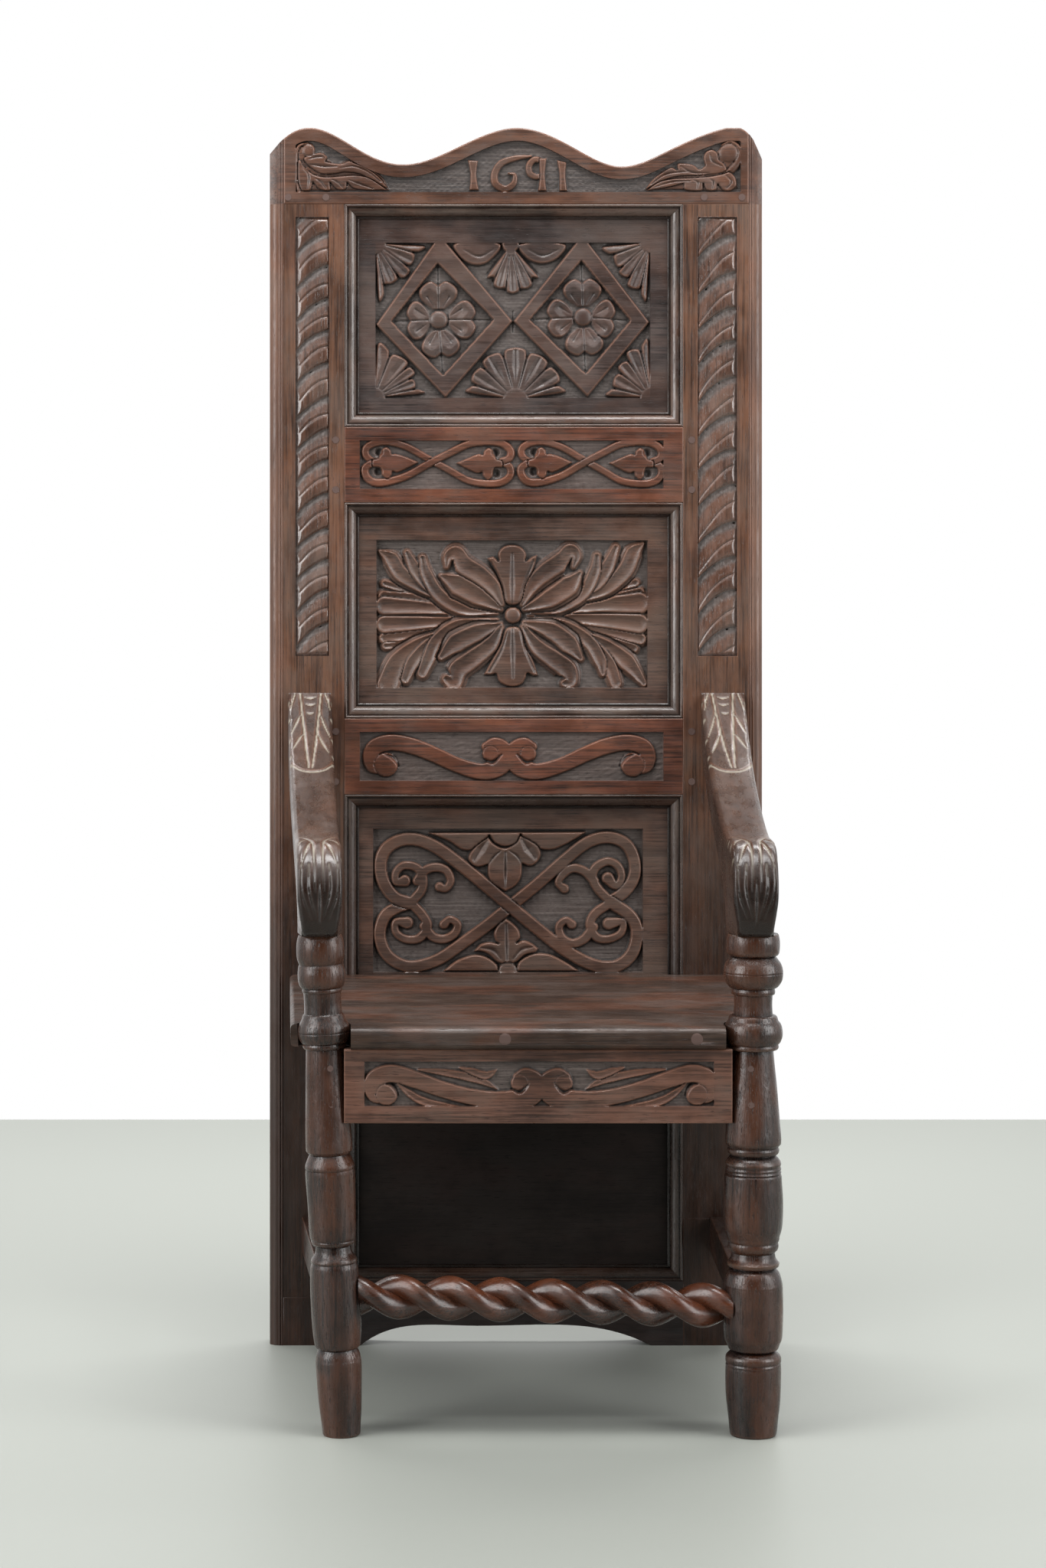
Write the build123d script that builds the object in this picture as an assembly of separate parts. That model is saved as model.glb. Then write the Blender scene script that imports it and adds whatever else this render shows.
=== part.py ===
from build123d import *

import math
import os

# Wainscot chair in oak: a joined armchair with a three-panel back, turned front legs and a boarded seat.
# Millimetres. +Z is up, the sitter looks along -Y, and the origin is on the floor under the chair's middle.
# Left and right are those of someone who stands in front of the chair and looks at it, so left is -X.

LEFT = -1
RIGHT = 1

# ---- the back frame ----
BACK_WIDTH = 575.0
BACK_THICKNESS = 32.0
CHAIR_HEIGHT = 1420.0
LEFT_STILE_WIDTH = 87.0
RIGHT_STILE_WIDTH = 93.0
CREST_HEIGHT = 89.0  # from the top of the stiles to the top of the crests
UPPER_RAIL_BOTTOM = 983.0
UPPER_RAIL_HEIGHT = 88.0
LOWER_RAIL_BOTTOM = 642.5
LOWER_RAIL_HEIGHT = 88.5
SEAT_BACK_RAIL_HEIGHT = 90.0
BOTTOM_RAIL_HEIGHT = 75.0
LEFT_FOOT_JOINT = 56.0  # height of the splice where the left stile's foot was renewed
RIGHT_FOOT_JOINT = 148.0
FOOT_LAP = 50.0

# The run of moulding along the outer edge of each stile, measured inwards from the edge.
EDGE_OVOLO_WIDTH = 10.0
EDGE_OVOLO_DEPTH = 9.0
EDGE_BEAD_WIDTH = 3.0
EDGE_BEAD_DEPTH = 1.2
EDGE_OVOLO_BELLY = (0.35, 0.4)  # a point on the ovolo's curve, as shares of its width and depth

# Sunk fields for the carving.
SINKING = 4.0
LEFT_CHANNEL_WIDTH = 39.0
RIGHT_CHANNEL_WIDTH = 46.0
CHANNEL_MARGIN = 30.0  # from the stile's outer edge
CHANNEL_ABOVE_ARM = 43.0
CHANNEL_BELOW_CREST = 15.0
FRIEZE_MARGIN_X = 20.0
FRIEZE_MARGIN_Z = 15.5
CREST_BORDER = 15.0
LEFT_CREST_MARGIN = 30.0  # from the crest rail's end to its field
RIGHT_CREST_MARGIN = 25.5
CREST_FIELD_RISE = 14.0  # above the crest rail's underside
CREST_FIELD_STEPS = 20
CREST_FIELD_START = 0.03  # share of the top line left out at each end

# The crest rail's top line, as places across the back and heights below the chair's top.
CREST_TOP_LINE = [
    (-287.5, 30.0), (-268.0, 10.0), (-238.0, 0.0), (-178.0, 28.5), (-136.0, 42.5), (-62.0, 19.5),
    (3.0, 0.0), (67.0, 23.0), (121.0, 45.0), (175.0, 27.5), (243.0, 0.5), (276.0, 13.5), (287.5, 36.0),
]

# The low arch cut in the underside of the bottom rail.
LEFT_ARCH_MARGIN = 18.5  # from the stile's inner edge to the arch
RIGHT_ARCH_MARGIN = 37.5
ARCH_HEIGHT = 23.0
ARCH_SHAPE = [(0.08, 0.68), (0.38, 1.0), (0.9, 0.6)]  # shares of its span and height

# ---- panels and the mouldings planted round them ----
PANEL_SETBACK = 13.0
PANEL_THICKNESS = 12.0
PANEL_GAP = 0.5
GROOVE_SETBACK = 15.0
GROOVE_WIDTH = 7.0
GROOVE_DEPTH = 9.0
TONGUE_CLEARANCE = 0.25
TONGUE_END_GAP = 1.0
MOULDING_WIDTH = 17.0
MOULDING_BEAD = 3.4
MOULDING_QUIRK = 2.4
MOULDING_FILLET = 3.2
MOULDING_FILLET_DEPTH = 2.4  # thickness left at the inner edge
MOULDING_STEP = 1.0  # flat between the bead and the ovolo
MOULDING_LIP = 0.6  # drop from the ovolo to the fillet
MOULDING_BELLY = (0.66, 0.3)  # a point on the ovolo's curve, as shares of its width and depth
MITRE_GAP = 0.05

# ---- joints ----
TENON_THICKNESS = 9.0
TENON_SETBACK = 14.0
TENON_SHOULDER = 9.5
TENON_LENGTH = 35.0
SEAT_RAIL_TENON_LENGTH = 22.0
MORTISE_CLEARANCE = 0.25
MORTISE_END_GAP = 2.0
STILE_TENON_HEIGHT = 42.0
STILE_TENON_MARGIN = 12.0
ARM_TENON_SPACING = 2.0  # between an arm's tenon and the back rails' tenons
SIDE_TENON_SPACING = 5.5  # between a side rail's tenon and the seat-level back rail's tenon
TENON_ROOT = 8.0  # how far the front rail's tenons run back into the rail
SIDE_TENON_ROOT = 45.0  # where the side pieces' tenons end inside them, behind the legs' axis
SIDE_BLANK_START = 12.0  # front end of the side pieces before they are cut to the legs, behind the legs' axis
SAME_PLACE = 0.01  # points closer than this are one point
OVERCUT = 1.0  # how far a cut runs past the face that it starts from, and a tenon into its own rail
PEG_DIAMETER = 8.0
LEG_PEG_DIAMETER = 6.4
PEG_CLEARANCE = 0.05
PEG_PROUD = 0.4
PEG_FROM_EDGE = 10.0
PEG_FROM_RAIL_EDGE = 15.0
CREST_PEG_RISE = 8.0
CREST_PEG_SPREAD = 44.0
LEG_PEG_FROM_EDGE = 20.0  # from the front rail's top and bottom
LEG_PEG_INSET = 5.0  # from the leg's axis, towards the rail
LEG_PEG_REACH = 40.0  # length of a peg ahead of the legs' axis, before it is cut off flush
COPE_CLEARANCE = 0.3  # between a round leg and whatever is cut to fit it

# ---- seat ----
SEAT_TOP = 432.5
SEAT_THICKNESS = 24.0
SEAT_BACK_INSET = 23.5  # seat's side, inside the back's edge, at the back frame
SEAT_FRONT_INSET = 28.5  # the same at the legs
SEAT_TONGUE_GAP = 4.0  # between the board's front tongue and the legs' collars
SEAT_NOSE = 28.0  # ahead of the legs' axis
SEAT_NOSE_ROUND = 9.0
SEAT_EDGE_ROUND = 5.0
PLUG_DIAMETER = 12.5
PLUG_DEPTH = 30.0
LEFT_PLUG_PLACE = 161.5  # from the nose's left end
RIGHT_PLUG_PLACE = 30.5  # from the nose's right end

FRONT_RAIL_HEIGHT = 77.5
FRONT_RAIL_THICKNESS = 26.0
FRONT_RAIL_AHEAD = 20.0  # its face, ahead of the legs' axis
FRONT_RAIL_SHOULDER = 20.0  # its end, inside the legs' axis at seat level
FRONT_FIELD_MARGIN_X = 19.5
FRONT_FIELD_MARGIN_Z = 13.0
SIDE_RAIL_HEIGHT = 82.0
SIDE_RAIL_THICKNESS = 26.0
SIDE_RAIL_INSET = 5.0  # its inner face, inside the leg's axis
SIDE_RAIL_NOTCH = 6.0  # depth of the notch in it that clears the front rail

# ---- legs ----
LEG_FORWARD = 400.0  # axis of the legs, ahead of the back frame's front face
LEFT_LEG_INSET = 82.5  # from the back's edge to the leg's axis at the floor
RIGHT_LEG_INSET = 58.5
LEFT_LEG_LEAN = 19.0  # how far the leg's axis has moved outwards at the seat's top
RIGHT_LEG_LEAN = 0.0
LEG_ANKLE = 90.0
LEG_BLOCK_TOP = 178.0
LEG_WAIST = 295.0
LEG_COLLAR_RISE = 10.0  # collar's top, above the seat
ARM_ABOVE_SEAT = 95.5  # from the seat's top to the arms' underside, on the legs
LEG_PIN_DIAMETER = 20.0
LEG_PIN_HEIGHT = 30.0
LEG_TRIM = 4.0  # turned long at both ends, then cut level
LEG_TENON_LENGTH = 26.0

# Turned outline of each leg in six spans. Each row is the place along the span from 0 to 1 and the radius
# there, and a third number makes the stretch up to that row an arc which passes that radius at its middle.
LEG_SPANS = {
    RIGHT: [
        [(0.0, 24.6), (0.79, 29.1, 28.2), (0.93, 28.7), (1.0, 21.4, 23.9)],
        [(0.06, 27.1), (0.16, 30.3, 29.4), (0.76, 31.1), (0.93, 27.9, 30.4), (1.0, 23.4)],
        [(0.04, 27.5), (0.13, 22.6, 23.6), (0.19, 26.7), (0.23, 26.0), (0.26, 27.5), (0.77, 30.3, 31.9),
         (0.93, 29.5), (1.0, 23.4, 24.8)],
        [(0.05, 27.5), (0.09, 27.5), (0.12, 29.5), (0.28, 28.3), (1.0, 21.0)],
        [(0.0, 26.7), (0.14, 26.7), (0.16, 27.5), (0.82, 27.5, 30.7), (0.86, 24.6), (1.0, 24.6)],
        [(0.0, 20.2), (0.25, 20.2), (0.25, 23.0), (0.32, 23.0), (0.33, 25.0), (0.73, 25.0, 31.5),
         (0.73, 27.9), (1.0, 27.9)],
    ],
    LEFT: [
        [(0.0, 20.0), (0.79, 24.2, 22.9), (0.88, 23.8), (1.0, 20.6, 21.6)],
        [(0.09, 24.6), (0.34, 26.3, 25.9), (0.7, 26.3), (0.92, 25.0), (1.0, 23.8)],
        [(0.17, 18.6, 20.2), (0.21, 23.5), (0.25, 24.2), (0.84, 26.3, 26.3), (0.9, 25.9), (1.0, 21.4, 22.6)],
        [(0.08, 24.6), (1.0, 19.8)],
        [(0.0, 23.0), (0.12, 23.0), (0.16, 24.5), (0.84, 24.5, 27.5), (0.88, 21.8), (1.0, 21.8)],
        [(0.0, 19.8), (0.28, 19.8), (0.28, 21.0), (0.33, 21.0), (0.34, 22.5), (0.6, 22.5, 25.0),
         (0.62, 23.8), (0.9, 23.8, 25.4), (1.0, 23.2)],
    ],
}

STRETCHER_SPAN = 1  # index of the span that the stretchers enter
COLLAR_SPAN = 4  # index of the span that the seat fits round

# ---- stretchers ----
LEFT_TWIST_HEIGHT = 147.0
RIGHT_TWIST_HEIGHT = 135.0
TWIST_RADIUS = 23.4
TWIST_STRAND_RADIUS = 13.2
TWIST_LEAD = 106.6
TWIST_START_ANGLE = 20.0
TWIST_TENON_DIAMETER = 15.0
TWIST_TENON_LENGTH = 16.0
SIDE_STRETCHER_BOTTOM = 110.0
SIDE_STRETCHER_HEIGHT = 40.0
SIDE_STRETCHER_THICKNESS = 24.0
SIDE_STRETCHER_INSET = 49.5  # from the back's edge to the stretcher's middle, at the back frame
SIDE_STRETCHER_TENON = 10.0

# ---- arms ----
ARM_PEG_GAP = 1.0  # between an arm's back end and the pegs beside it
ARM_BACK_WIDTH = 51.0
ARM_FRONT_WIDTH = 47.0
ARM_BACK_HEIGHT = 61.0
ARM_SCROLL_RADIUS = 50.0
ARM_SCROLL_HEIGHT = 97.0
ARM_DROP = 136.0  # from the arm's top at the stile to its top over the leg
ARM_SCROLL_BACK = 8.0  # scroll's centre, behind the legs' axis
ARM_EDGE_ROUND = 5.0
ARM_TENON_THICKNESS = 12.0
ARM_TENON_HEIGHT = 36.0
ARM_TENON_LENGTH = 22.0
ARM_FOOT_AHEAD = 31.0  # the flat that sits on the leg, ahead of the legs' axis
ARM_FOOT_BEHIND = 34.0
ARM_TUCK = 2.5  # how far the scroll's front has gone in halfway down to that flat
ARM_TOP_SHAPE = [(0.16, 0.66), (0.36, 0.38), (0.62, 0.14), (0.84, 0.015)]  # shares of the arm's run and drop
ARM_UNDER_SHAPE = [(0.84, 0.21), (0.58, 0.43), (0.26, 0.68)]
HALF_TURNED = 0.5  # an edge whose run along X is more than this share goes across the arm

# ---- places worked out from the sizes above ----
HALF_WIDTH = BACK_WIDTH / 2
ARM_REACH = ARM_SCROLL_RADIUS - ARM_SCROLL_BACK  # arm's front, ahead of the legs' axis
OVERALL_DEPTH = BACK_THICKNESS + LEG_FORWARD + ARM_REACH
BACK_Y = OVERALL_DEPTH / 2
FRONT_Y = BACK_Y - BACK_THICKNESS
LEG_Y = FRONT_Y - LEG_FORWARD
STILE_WIDTH = {LEFT: LEFT_STILE_WIDTH, RIGHT: RIGHT_STILE_WIDTH}
INNER_EDGE = {side: side * (HALF_WIDTH - width) for side, width in STILE_WIDTH.items()}
INNER_REACH = max(abs(edge) for edge in INNER_EDGE.values())
CREST_JOINT = CHAIR_HEIGHT - CREST_HEIGHT
ARM_SEAT = SEAT_TOP + ARM_ABOVE_SEAT
ARM_SCROLL_TOP = ARM_SEAT + ARM_SCROLL_HEIGHT
ARM_BACK_TOP = ARM_SCROLL_TOP + ARM_DROP
FOOT_JOINT = {LEFT: LEFT_FOOT_JOINT, RIGHT: RIGHT_FOOT_JOINT}
CHANNEL_WIDTH = {LEFT: LEFT_CHANNEL_WIDTH, RIGHT: RIGHT_CHANNEL_WIDTH}
CHANNEL_BOTTOM = ARM_BACK_TOP + CHANNEL_ABOVE_ARM
CHANNEL_TOP = CREST_JOINT - CHANNEL_BELOW_CREST
LEG_FOOT_X = {LEFT: LEFT_LEG_INSET - HALF_WIDTH, RIGHT: HALF_WIDTH - RIGHT_LEG_INSET}
LEG_LEAN = {LEFT: LEFT_LEG_LEAN, RIGHT: RIGHT_LEG_LEAN}
TWIST_HEIGHT = {LEFT: LEFT_TWIST_HEIGHT, RIGHT: RIGHT_TWIST_HEIGHT}
ARM_BACK_X = INNER_REACH + PEG_FROM_EDGE + PEG_DIAMETER / 2 + ARM_PEG_GAP + ARM_BACK_WIDTH / 2
ARM_TENON_X = INNER_REACH + TENON_LENGTH + ARM_TENON_SPACING + ARM_TENON_THICKNESS / 2
SIDE_RAIL_TENON_X = INNER_REACH + SEAT_RAIL_TENON_LENGTH + SIDE_TENON_SPACING + TENON_THICKNESS / 2
SIDE_STRETCHER_BACK_X = HALF_WIDTH - SIDE_STRETCHER_INSET
UPPER_RAIL_TOP = UPPER_RAIL_BOTTOM + UPPER_RAIL_HEIGHT
LOWER_RAIL_TOP = LOWER_RAIL_BOTTOM + LOWER_RAIL_HEIGHT
SEAT_BOTTOM = SEAT_TOP - SEAT_THICKNESS
SEAT_BACK_RAIL_BOTTOM = SEAT_BOTTOM - SEAT_BACK_RAIL_HEIGHT
EDGE_RUN = EDGE_OVOLO_WIDTH + 2 * EDGE_BEAD_WIDTH
MORTISE_ROOM = (MORTISE_CLEARANCE, MORTISE_END_GAP)
TENON_FRONT = FRONT_Y + TENON_SETBACK
TENON_BACK = TENON_FRONT + TENON_THICKNESS
BACK_OPENINGS = {
    "upper_panel": (UPPER_RAIL_TOP, CREST_JOINT),
    "middle_panel": (LOWER_RAIL_TOP, UPPER_RAIL_BOTTOM),
    "lower_panel": (SEAT_BOTTOM, LOWER_RAIL_BOTTOM),
    "base_panel": (BOTTOM_RAIL_HEIGHT, SEAT_BACK_RAIL_BOTTOM),
}
BACK_RAILS = {
    "upper_mid_rail": (UPPER_RAIL_BOTTOM, UPPER_RAIL_TOP, TENON_LENGTH),
    "lower_mid_rail": (LOWER_RAIL_BOTTOM, LOWER_RAIL_TOP, TENON_LENGTH),
    "seat_back_rail": (SEAT_BACK_RAIL_BOTTOM, SEAT_BOTTOM, SEAT_RAIL_TENON_LENGTH),
}
# Where the six spans of a leg's turning meet.
LEG_HEIGHTS = [0.0, LEG_ANKLE, LEG_BLOCK_TOP, LEG_WAIST, SEAT_BOTTOM, SEAT_TOP + LEG_COLLAR_RISE, ARM_SEAT]
BOTTOM_TENON_TOP = min(FOOT_JOINT.values()) - TENON_SHOULDER
BOTTOM_TENON_BOTTOM = TENON_SHOULDER


# ---- small helpers ----
def block(x0, x1, y0, y1, z0, z1):
    """A square-edged block between two corners, given in any order."""
    size = Box(abs(x1 - x0), abs(y1 - y0), abs(z1 - z0))
    return Pos((x0 + x1) / 2, (y0 + y1) / 2, (z0 + z1) / 2) * size


def profile(start, steps):
    """A closed face. A step of two numbers is a straight line, and one of four an arc through a point."""
    edges = []
    here = start
    for step in steps:
        there = step[-2:]
        edges.append(ThreePointArc(here, step[:2], there) if len(step) == 4 else Line(here, there))
        here = there
    edges.append(Line(here, start))
    return make_face(edges)


def across_y(face, y0, y1):
    """Extrudes a face drawn in X and Z from one depth to another."""
    return extrude(Pos(0, y0, 0) * (Plane.XZ * face), amount=y1 - y0, dir=(0, 1, 0))


def across_x(face, x0, x1):
    """Extrudes a face drawn in Y and Z from one side to another."""
    return extrude(Pos(x0, 0, 0) * (Plane.YZ * face), amount=x1 - x0, dir=(1, 0, 0))


def upwards(face, z0, z1):
    """Extrudes a face drawn in X and Y from one height to another."""
    return extrude(Pos(0, 0, z0) * face, amount=z1 - z0, dir=(0, 0, 1))


def rod(x, z, y0, y1, diameter):
    """A round peg that runs from front to back."""
    return Pos(x, (y0 + y1) / 2, z) * Rot(90, 0, 0) * Cylinder(diameter / 2, y1 - y0)


def mirror_span(side, inner, outer):
    """Two distances from the middle, as X places on the given side."""
    return side * inner, side * outer


def cut(body, shapes):
    """Takes shapes away from a body, one after another."""
    for shape in shapes:
        body -= shape
    return body


# ---- turned legs ----
def leg_placement(side):
    """Stands a leg on the floor, leaning outwards by its own amount."""
    lean = math.degrees(math.atan2(LEG_LEAN[side], SEAT_TOP))
    return Pos(LEG_FOOT_X[side], LEG_Y, 0) * Rot(0, side * lean, 0)


def leg_axis_x(side, height):
    """X of a leg's axis at a height."""
    return LEG_FOOT_X[side] + side * LEG_LEAN[side] * height / SEAT_TOP


def turned_body(side, grow=0.0):
    """A leg's turned solid, made thicker all round by grow."""
    spans = LEG_SPANS[side]
    first_radius = spans[0][0][1] + grow
    start = (0.0, -LEG_TRIM)
    steps = [(first_radius, -LEG_TRIM)]
    for index, rows in enumerate(spans):
        base = LEG_HEIGHTS[index]
        reach = LEG_HEIGHTS[index + 1] - base
        for row in rows:
            there = (row[1] + grow, base + row[0] * reach)
            if math.dist(steps[-1][-2:], there) < SAME_PLACE:
                continue
            if len(row) == 3:
                middle = (row[2] + grow, (steps[-1][-1] + there[1]) / 2)
                steps.append(middle + there)
            else:
                steps.append(there)
    last_radius = spans[-1][-1][1] + grow
    steps.append((last_radius, ARM_SEAT + LEG_TRIM))
    steps.append((0.0, ARM_SEAT + LEG_TRIM))
    turning = revolve(Plane.XZ * profile(start, steps), Axis.Z)
    return leg_placement(side) * turning


def leg_round(side, span, clearance):
    """A plain cylinder on a leg's axis that clears the widest turning of one span."""
    radius = max(row[1] if len(row) == 2 else max(row[1:]) for row in LEG_SPANS[side][span]) + clearance
    return leg_placement(side) * Pos(0, 0, ARM_SEAT / 2) * Cylinder(radius, ARM_SEAT)


def leg_pin(side, grow=0.0):
    """The round pin on top of a leg, which the arm sits down over."""
    foot = ARM_SEAT - LEG_TRIM
    height = LEG_PIN_HEIGHT + LEG_TRIM + grow
    return leg_placement(side) * Pos(0, 0, foot + height / 2) * Cylinder(LEG_PIN_DIAMETER / 2 + grow, height)


# ---- tenons, as plain blocks that the mortises are grown from ----
def back_rail_tenon(side, z0, z1, length, grow=0.0, end_gap=0.0):
    """A back rail's tenon in one stile."""
    inner = abs(INNER_EDGE[side]) - OVERCUT
    outer = abs(INNER_EDGE[side]) + length + end_gap
    x0, x1 = mirror_span(side, inner, outer)
    return block(x0, x1, TENON_FRONT - grow, TENON_BACK + grow, z0 - grow, z1 + grow)


def stile_tenon(side, grow=0.0, end_gap=0.0):
    """The tenon on top of a stile that enters the crest rail."""
    x0, x1 = mirror_span(side, abs(INNER_EDGE[side]) + STILE_TENON_MARGIN, HALF_WIDTH - STILE_TENON_MARGIN)
    spread = math.copysign(grow, side)
    top = CREST_JOINT + STILE_TENON_HEIGHT + end_gap
    return block(x0 - spread, x1 + spread, TENON_FRONT - grow, TENON_BACK + grow, CREST_JOINT - OVERCUT, top)


def arm_tenon(side, grow=0.0, end_gap=0.0):
    """The tenon at the back of an arm that enters its stile."""
    middle = side * ARM_TENON_X
    half = ARM_TENON_THICKNESS / 2 + grow
    centre = ARM_BACK_TOP - ARM_BACK_HEIGHT / 2
    z0 = centre - ARM_TENON_HEIGHT / 2 - grow
    z1 = centre + ARM_TENON_HEIGHT / 2 + grow
    y1 = FRONT_Y + ARM_TENON_LENGTH + end_gap
    return block(middle - half, middle + half, FRONT_Y - OVERCUT, y1, z0, z1)


def side_tenon(x, bottom, height, y0, y1, grow=0.0):
    """A tenon that runs from front to back on a side rail or stretcher."""
    half = TENON_THICKNESS / 2 + grow
    z0 = bottom + TENON_SHOULDER - grow
    z1 = bottom + height - TENON_SHOULDER + grow
    return block(x - half, x + half, y0, y1, z0, z1)


def front_rail_tenon(side, grow=0.0, end_gap=0.0):
    """A front seat rail's tenon in a leg."""
    z0 = SEAT_BOTTOM - FRONT_RAIL_HEIGHT + TENON_SHOULDER - grow
    z1 = SEAT_BOTTOM - TENON_SHOULDER + grow
    axis = abs(leg_axis_x(side, SEAT_BOTTOM - FRONT_RAIL_HEIGHT / 2))
    shoulder = axis - FRONT_RAIL_SHOULDER
    x0, x1 = mirror_span(side, shoulder - TENON_ROOT, shoulder + LEG_TENON_LENGTH + end_gap)
    half = TENON_THICKNESS / 2 + grow
    return block(x0, x1, LEG_Y - half, LEG_Y + half, z0, z1)


# ---- back frame ----
def stile_plan(side):
    """A stile's section, with the ovolo and two beads run along its outer front edge."""
    width = STILE_WIDTH[side]
    bead = EDGE_BEAD_WIDTH
    quirk = EDGE_BEAD_DEPTH

    def at(inwards, depth):
        return side * (HALF_WIDTH - inwards), FRONT_Y + depth

    start = at(0, BACK_THICKNESS)
    first = EDGE_OVOLO_WIDTH
    second = first + bead
    third = second + bead
    ovolo_middle = at(EDGE_OVOLO_WIDTH * EDGE_OVOLO_BELLY[0], EDGE_OVOLO_DEPTH * EDGE_OVOLO_BELLY[1])
    steps = [
        at(0, EDGE_OVOLO_DEPTH),
        ovolo_middle + at(first, quirk),
        at(first + bead / 2, 0) + at(second, quirk),
        at(second + bead / 2, 0) + at(third, quirk),
        at(third, 0),
        at(width, 0),
        at(width, BACK_THICKNESS),
    ]
    return profile(start, steps)


def panel_grooves(side):
    """The grooves in a stile's inner edge that hold the panels."""
    x0, x1 = mirror_span(side, abs(INNER_EDGE[side]) - OVERCUT, abs(INNER_EDGE[side]) + GROOVE_DEPTH)
    y0 = FRONT_Y + GROOVE_SETBACK
    cuts = []
    for z0, z1 in BACK_OPENINGS.values():
        cuts.append(block(x0, x1, y0, y0 + GROOVE_WIDTH, z0 - GROOVE_DEPTH, z1 + GROOVE_DEPTH))
    return cuts


def channel(side):
    """The long sunk channel in a stile's face."""
    outer = HALF_WIDTH - CHANNEL_MARGIN
    x0, x1 = mirror_span(side, outer - CHANNEL_WIDTH[side], outer)
    return block(x0, x1, FRONT_Y - OVERCUT, FRONT_Y + SINKING, CHANNEL_BOTTOM, CHANNEL_TOP)


def rail_peg_places(side):
    """Places of the pegs that pin the back rails' tenons in one stile."""
    x = INNER_EDGE[side] + side * PEG_FROM_EDGE
    places = []
    for z0, z1, _ in BACK_RAILS.values():
        places += [(x, z0 + PEG_FROM_RAIL_EDGE), (x, z1 - PEG_FROM_RAIL_EDGE)]
    places.append((x, (BOTTOM_TENON_BOTTOM + BOTTOM_TENON_TOP) / 2))
    return places


def crest_peg_places(side):
    """Places of the two pegs that pin the crest rail to one stile."""
    middle = side * (HALF_WIDTH + abs(INNER_EDGE[side])) / 2
    height = CREST_JOINT + CREST_PEG_RISE
    return [(middle - CREST_PEG_SPREAD / 2, height), (middle + CREST_PEG_SPREAD / 2, height)]


def pegs(places, y0, y1, grow=0.0):
    """Solids for a set of pegs, each a separate peg."""
    return [rod(x, z, y0, y1, PEG_DIAMETER + 2 * grow) for x, z in places]


def whole_stile(side):
    """A stile with its renewed foot still in one piece."""
    body = upwards(stile_plan(side), 0, CREST_JOINT) + stile_tenon(side)
    cuts = panel_grooves(side) + [channel(side)]
    for z0, z1, length in BACK_RAILS.values():
        low, high = z0 + TENON_SHOULDER, z1 - TENON_SHOULDER
        cuts.append(back_rail_tenon(side, low, high, length, *MORTISE_ROOM))
    cuts.append(back_rail_tenon(side, BOTTOM_TENON_BOTTOM, BOTTOM_TENON_TOP, TENON_LENGTH, *MORTISE_ROOM))
    cuts.append(arm_tenon(side, *MORTISE_ROOM))
    cuts.append(side_rail_back_tenon(side, *MORTISE_ROOM))
    cuts.append(side_stretcher_back_tenon(side, *MORTISE_ROOM))
    places = rail_peg_places(side) + crest_peg_places(side)
    cuts += pegs(places, FRONT_Y - OVERCUT, BACK_Y + OVERCUT, PEG_CLEARANCE)
    return cut(body, cuts)


def foot_region(side):
    """All that belongs to a stile's renewed foot: the end below the splice and the lap behind it."""
    x0, x1 = mirror_span(side, abs(INNER_EDGE[side]) - OVERCUT, HALF_WIDTH + OVERCUT)
    joint = FOOT_JOINT[side]
    back = BACK_Y + OVERCUT
    end = block(x0, x1, FRONT_Y - OVERCUT, back, -OVERCUT, joint)
    lap = block(x0, x1, FRONT_Y + BACK_THICKNESS / 2, back, joint - OVERCUT, joint + FOOT_LAP)
    return end + lap


def rail_grooves(z0, z1, top, bottom):
    """Panel grooves in a rail's top and bottom edges."""
    x0 = INNER_EDGE[LEFT] - GROOVE_DEPTH
    x1 = INNER_EDGE[RIGHT] + GROOVE_DEPTH
    y0 = FRONT_Y + GROOVE_SETBACK
    y1 = y0 + GROOVE_WIDTH
    cuts = []
    if top:
        cuts.append(block(x0, x1, y0, y1, z1 - GROOVE_DEPTH, z1 + OVERCUT))
    if bottom:
        cuts.append(block(x0, x1, y0, y1, z0 - OVERCUT, z0 + GROOVE_DEPTH))
    return cuts


def frieze_field(z0, z1):
    """The sunk field that a rail's carving is cut in."""
    x0 = INNER_EDGE[LEFT] + FRIEZE_MARGIN_X
    x1 = INNER_EDGE[RIGHT] - FRIEZE_MARGIN_X
    return block(x0, x1, FRONT_Y - OVERCUT, FRONT_Y + SINKING, z0 + FRIEZE_MARGIN_Z, z1 - FRIEZE_MARGIN_Z)


def back_rail(name):
    """A rail between the stiles, with its tenons, grooves and peg holes."""
    z0, z1, length = BACK_RAILS[name]
    body = block(INNER_EDGE[LEFT], INNER_EDGE[RIGHT], FRONT_Y, BACK_Y, z0, z1)
    cuts = rail_grooves(z0, z1, True, True)
    for side in (LEFT, RIGHT):
        body += back_rail_tenon(side, z0 + TENON_SHOULDER, z1 - TENON_SHOULDER, length)
        cuts += pegs(rail_peg_places(side), FRONT_Y, BACK_Y, PEG_CLEARANCE)
    if name in ("upper_mid_rail", "lower_mid_rail"):
        cuts.append(frieze_field(z0, z1))
    return cut(body, cuts)


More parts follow.
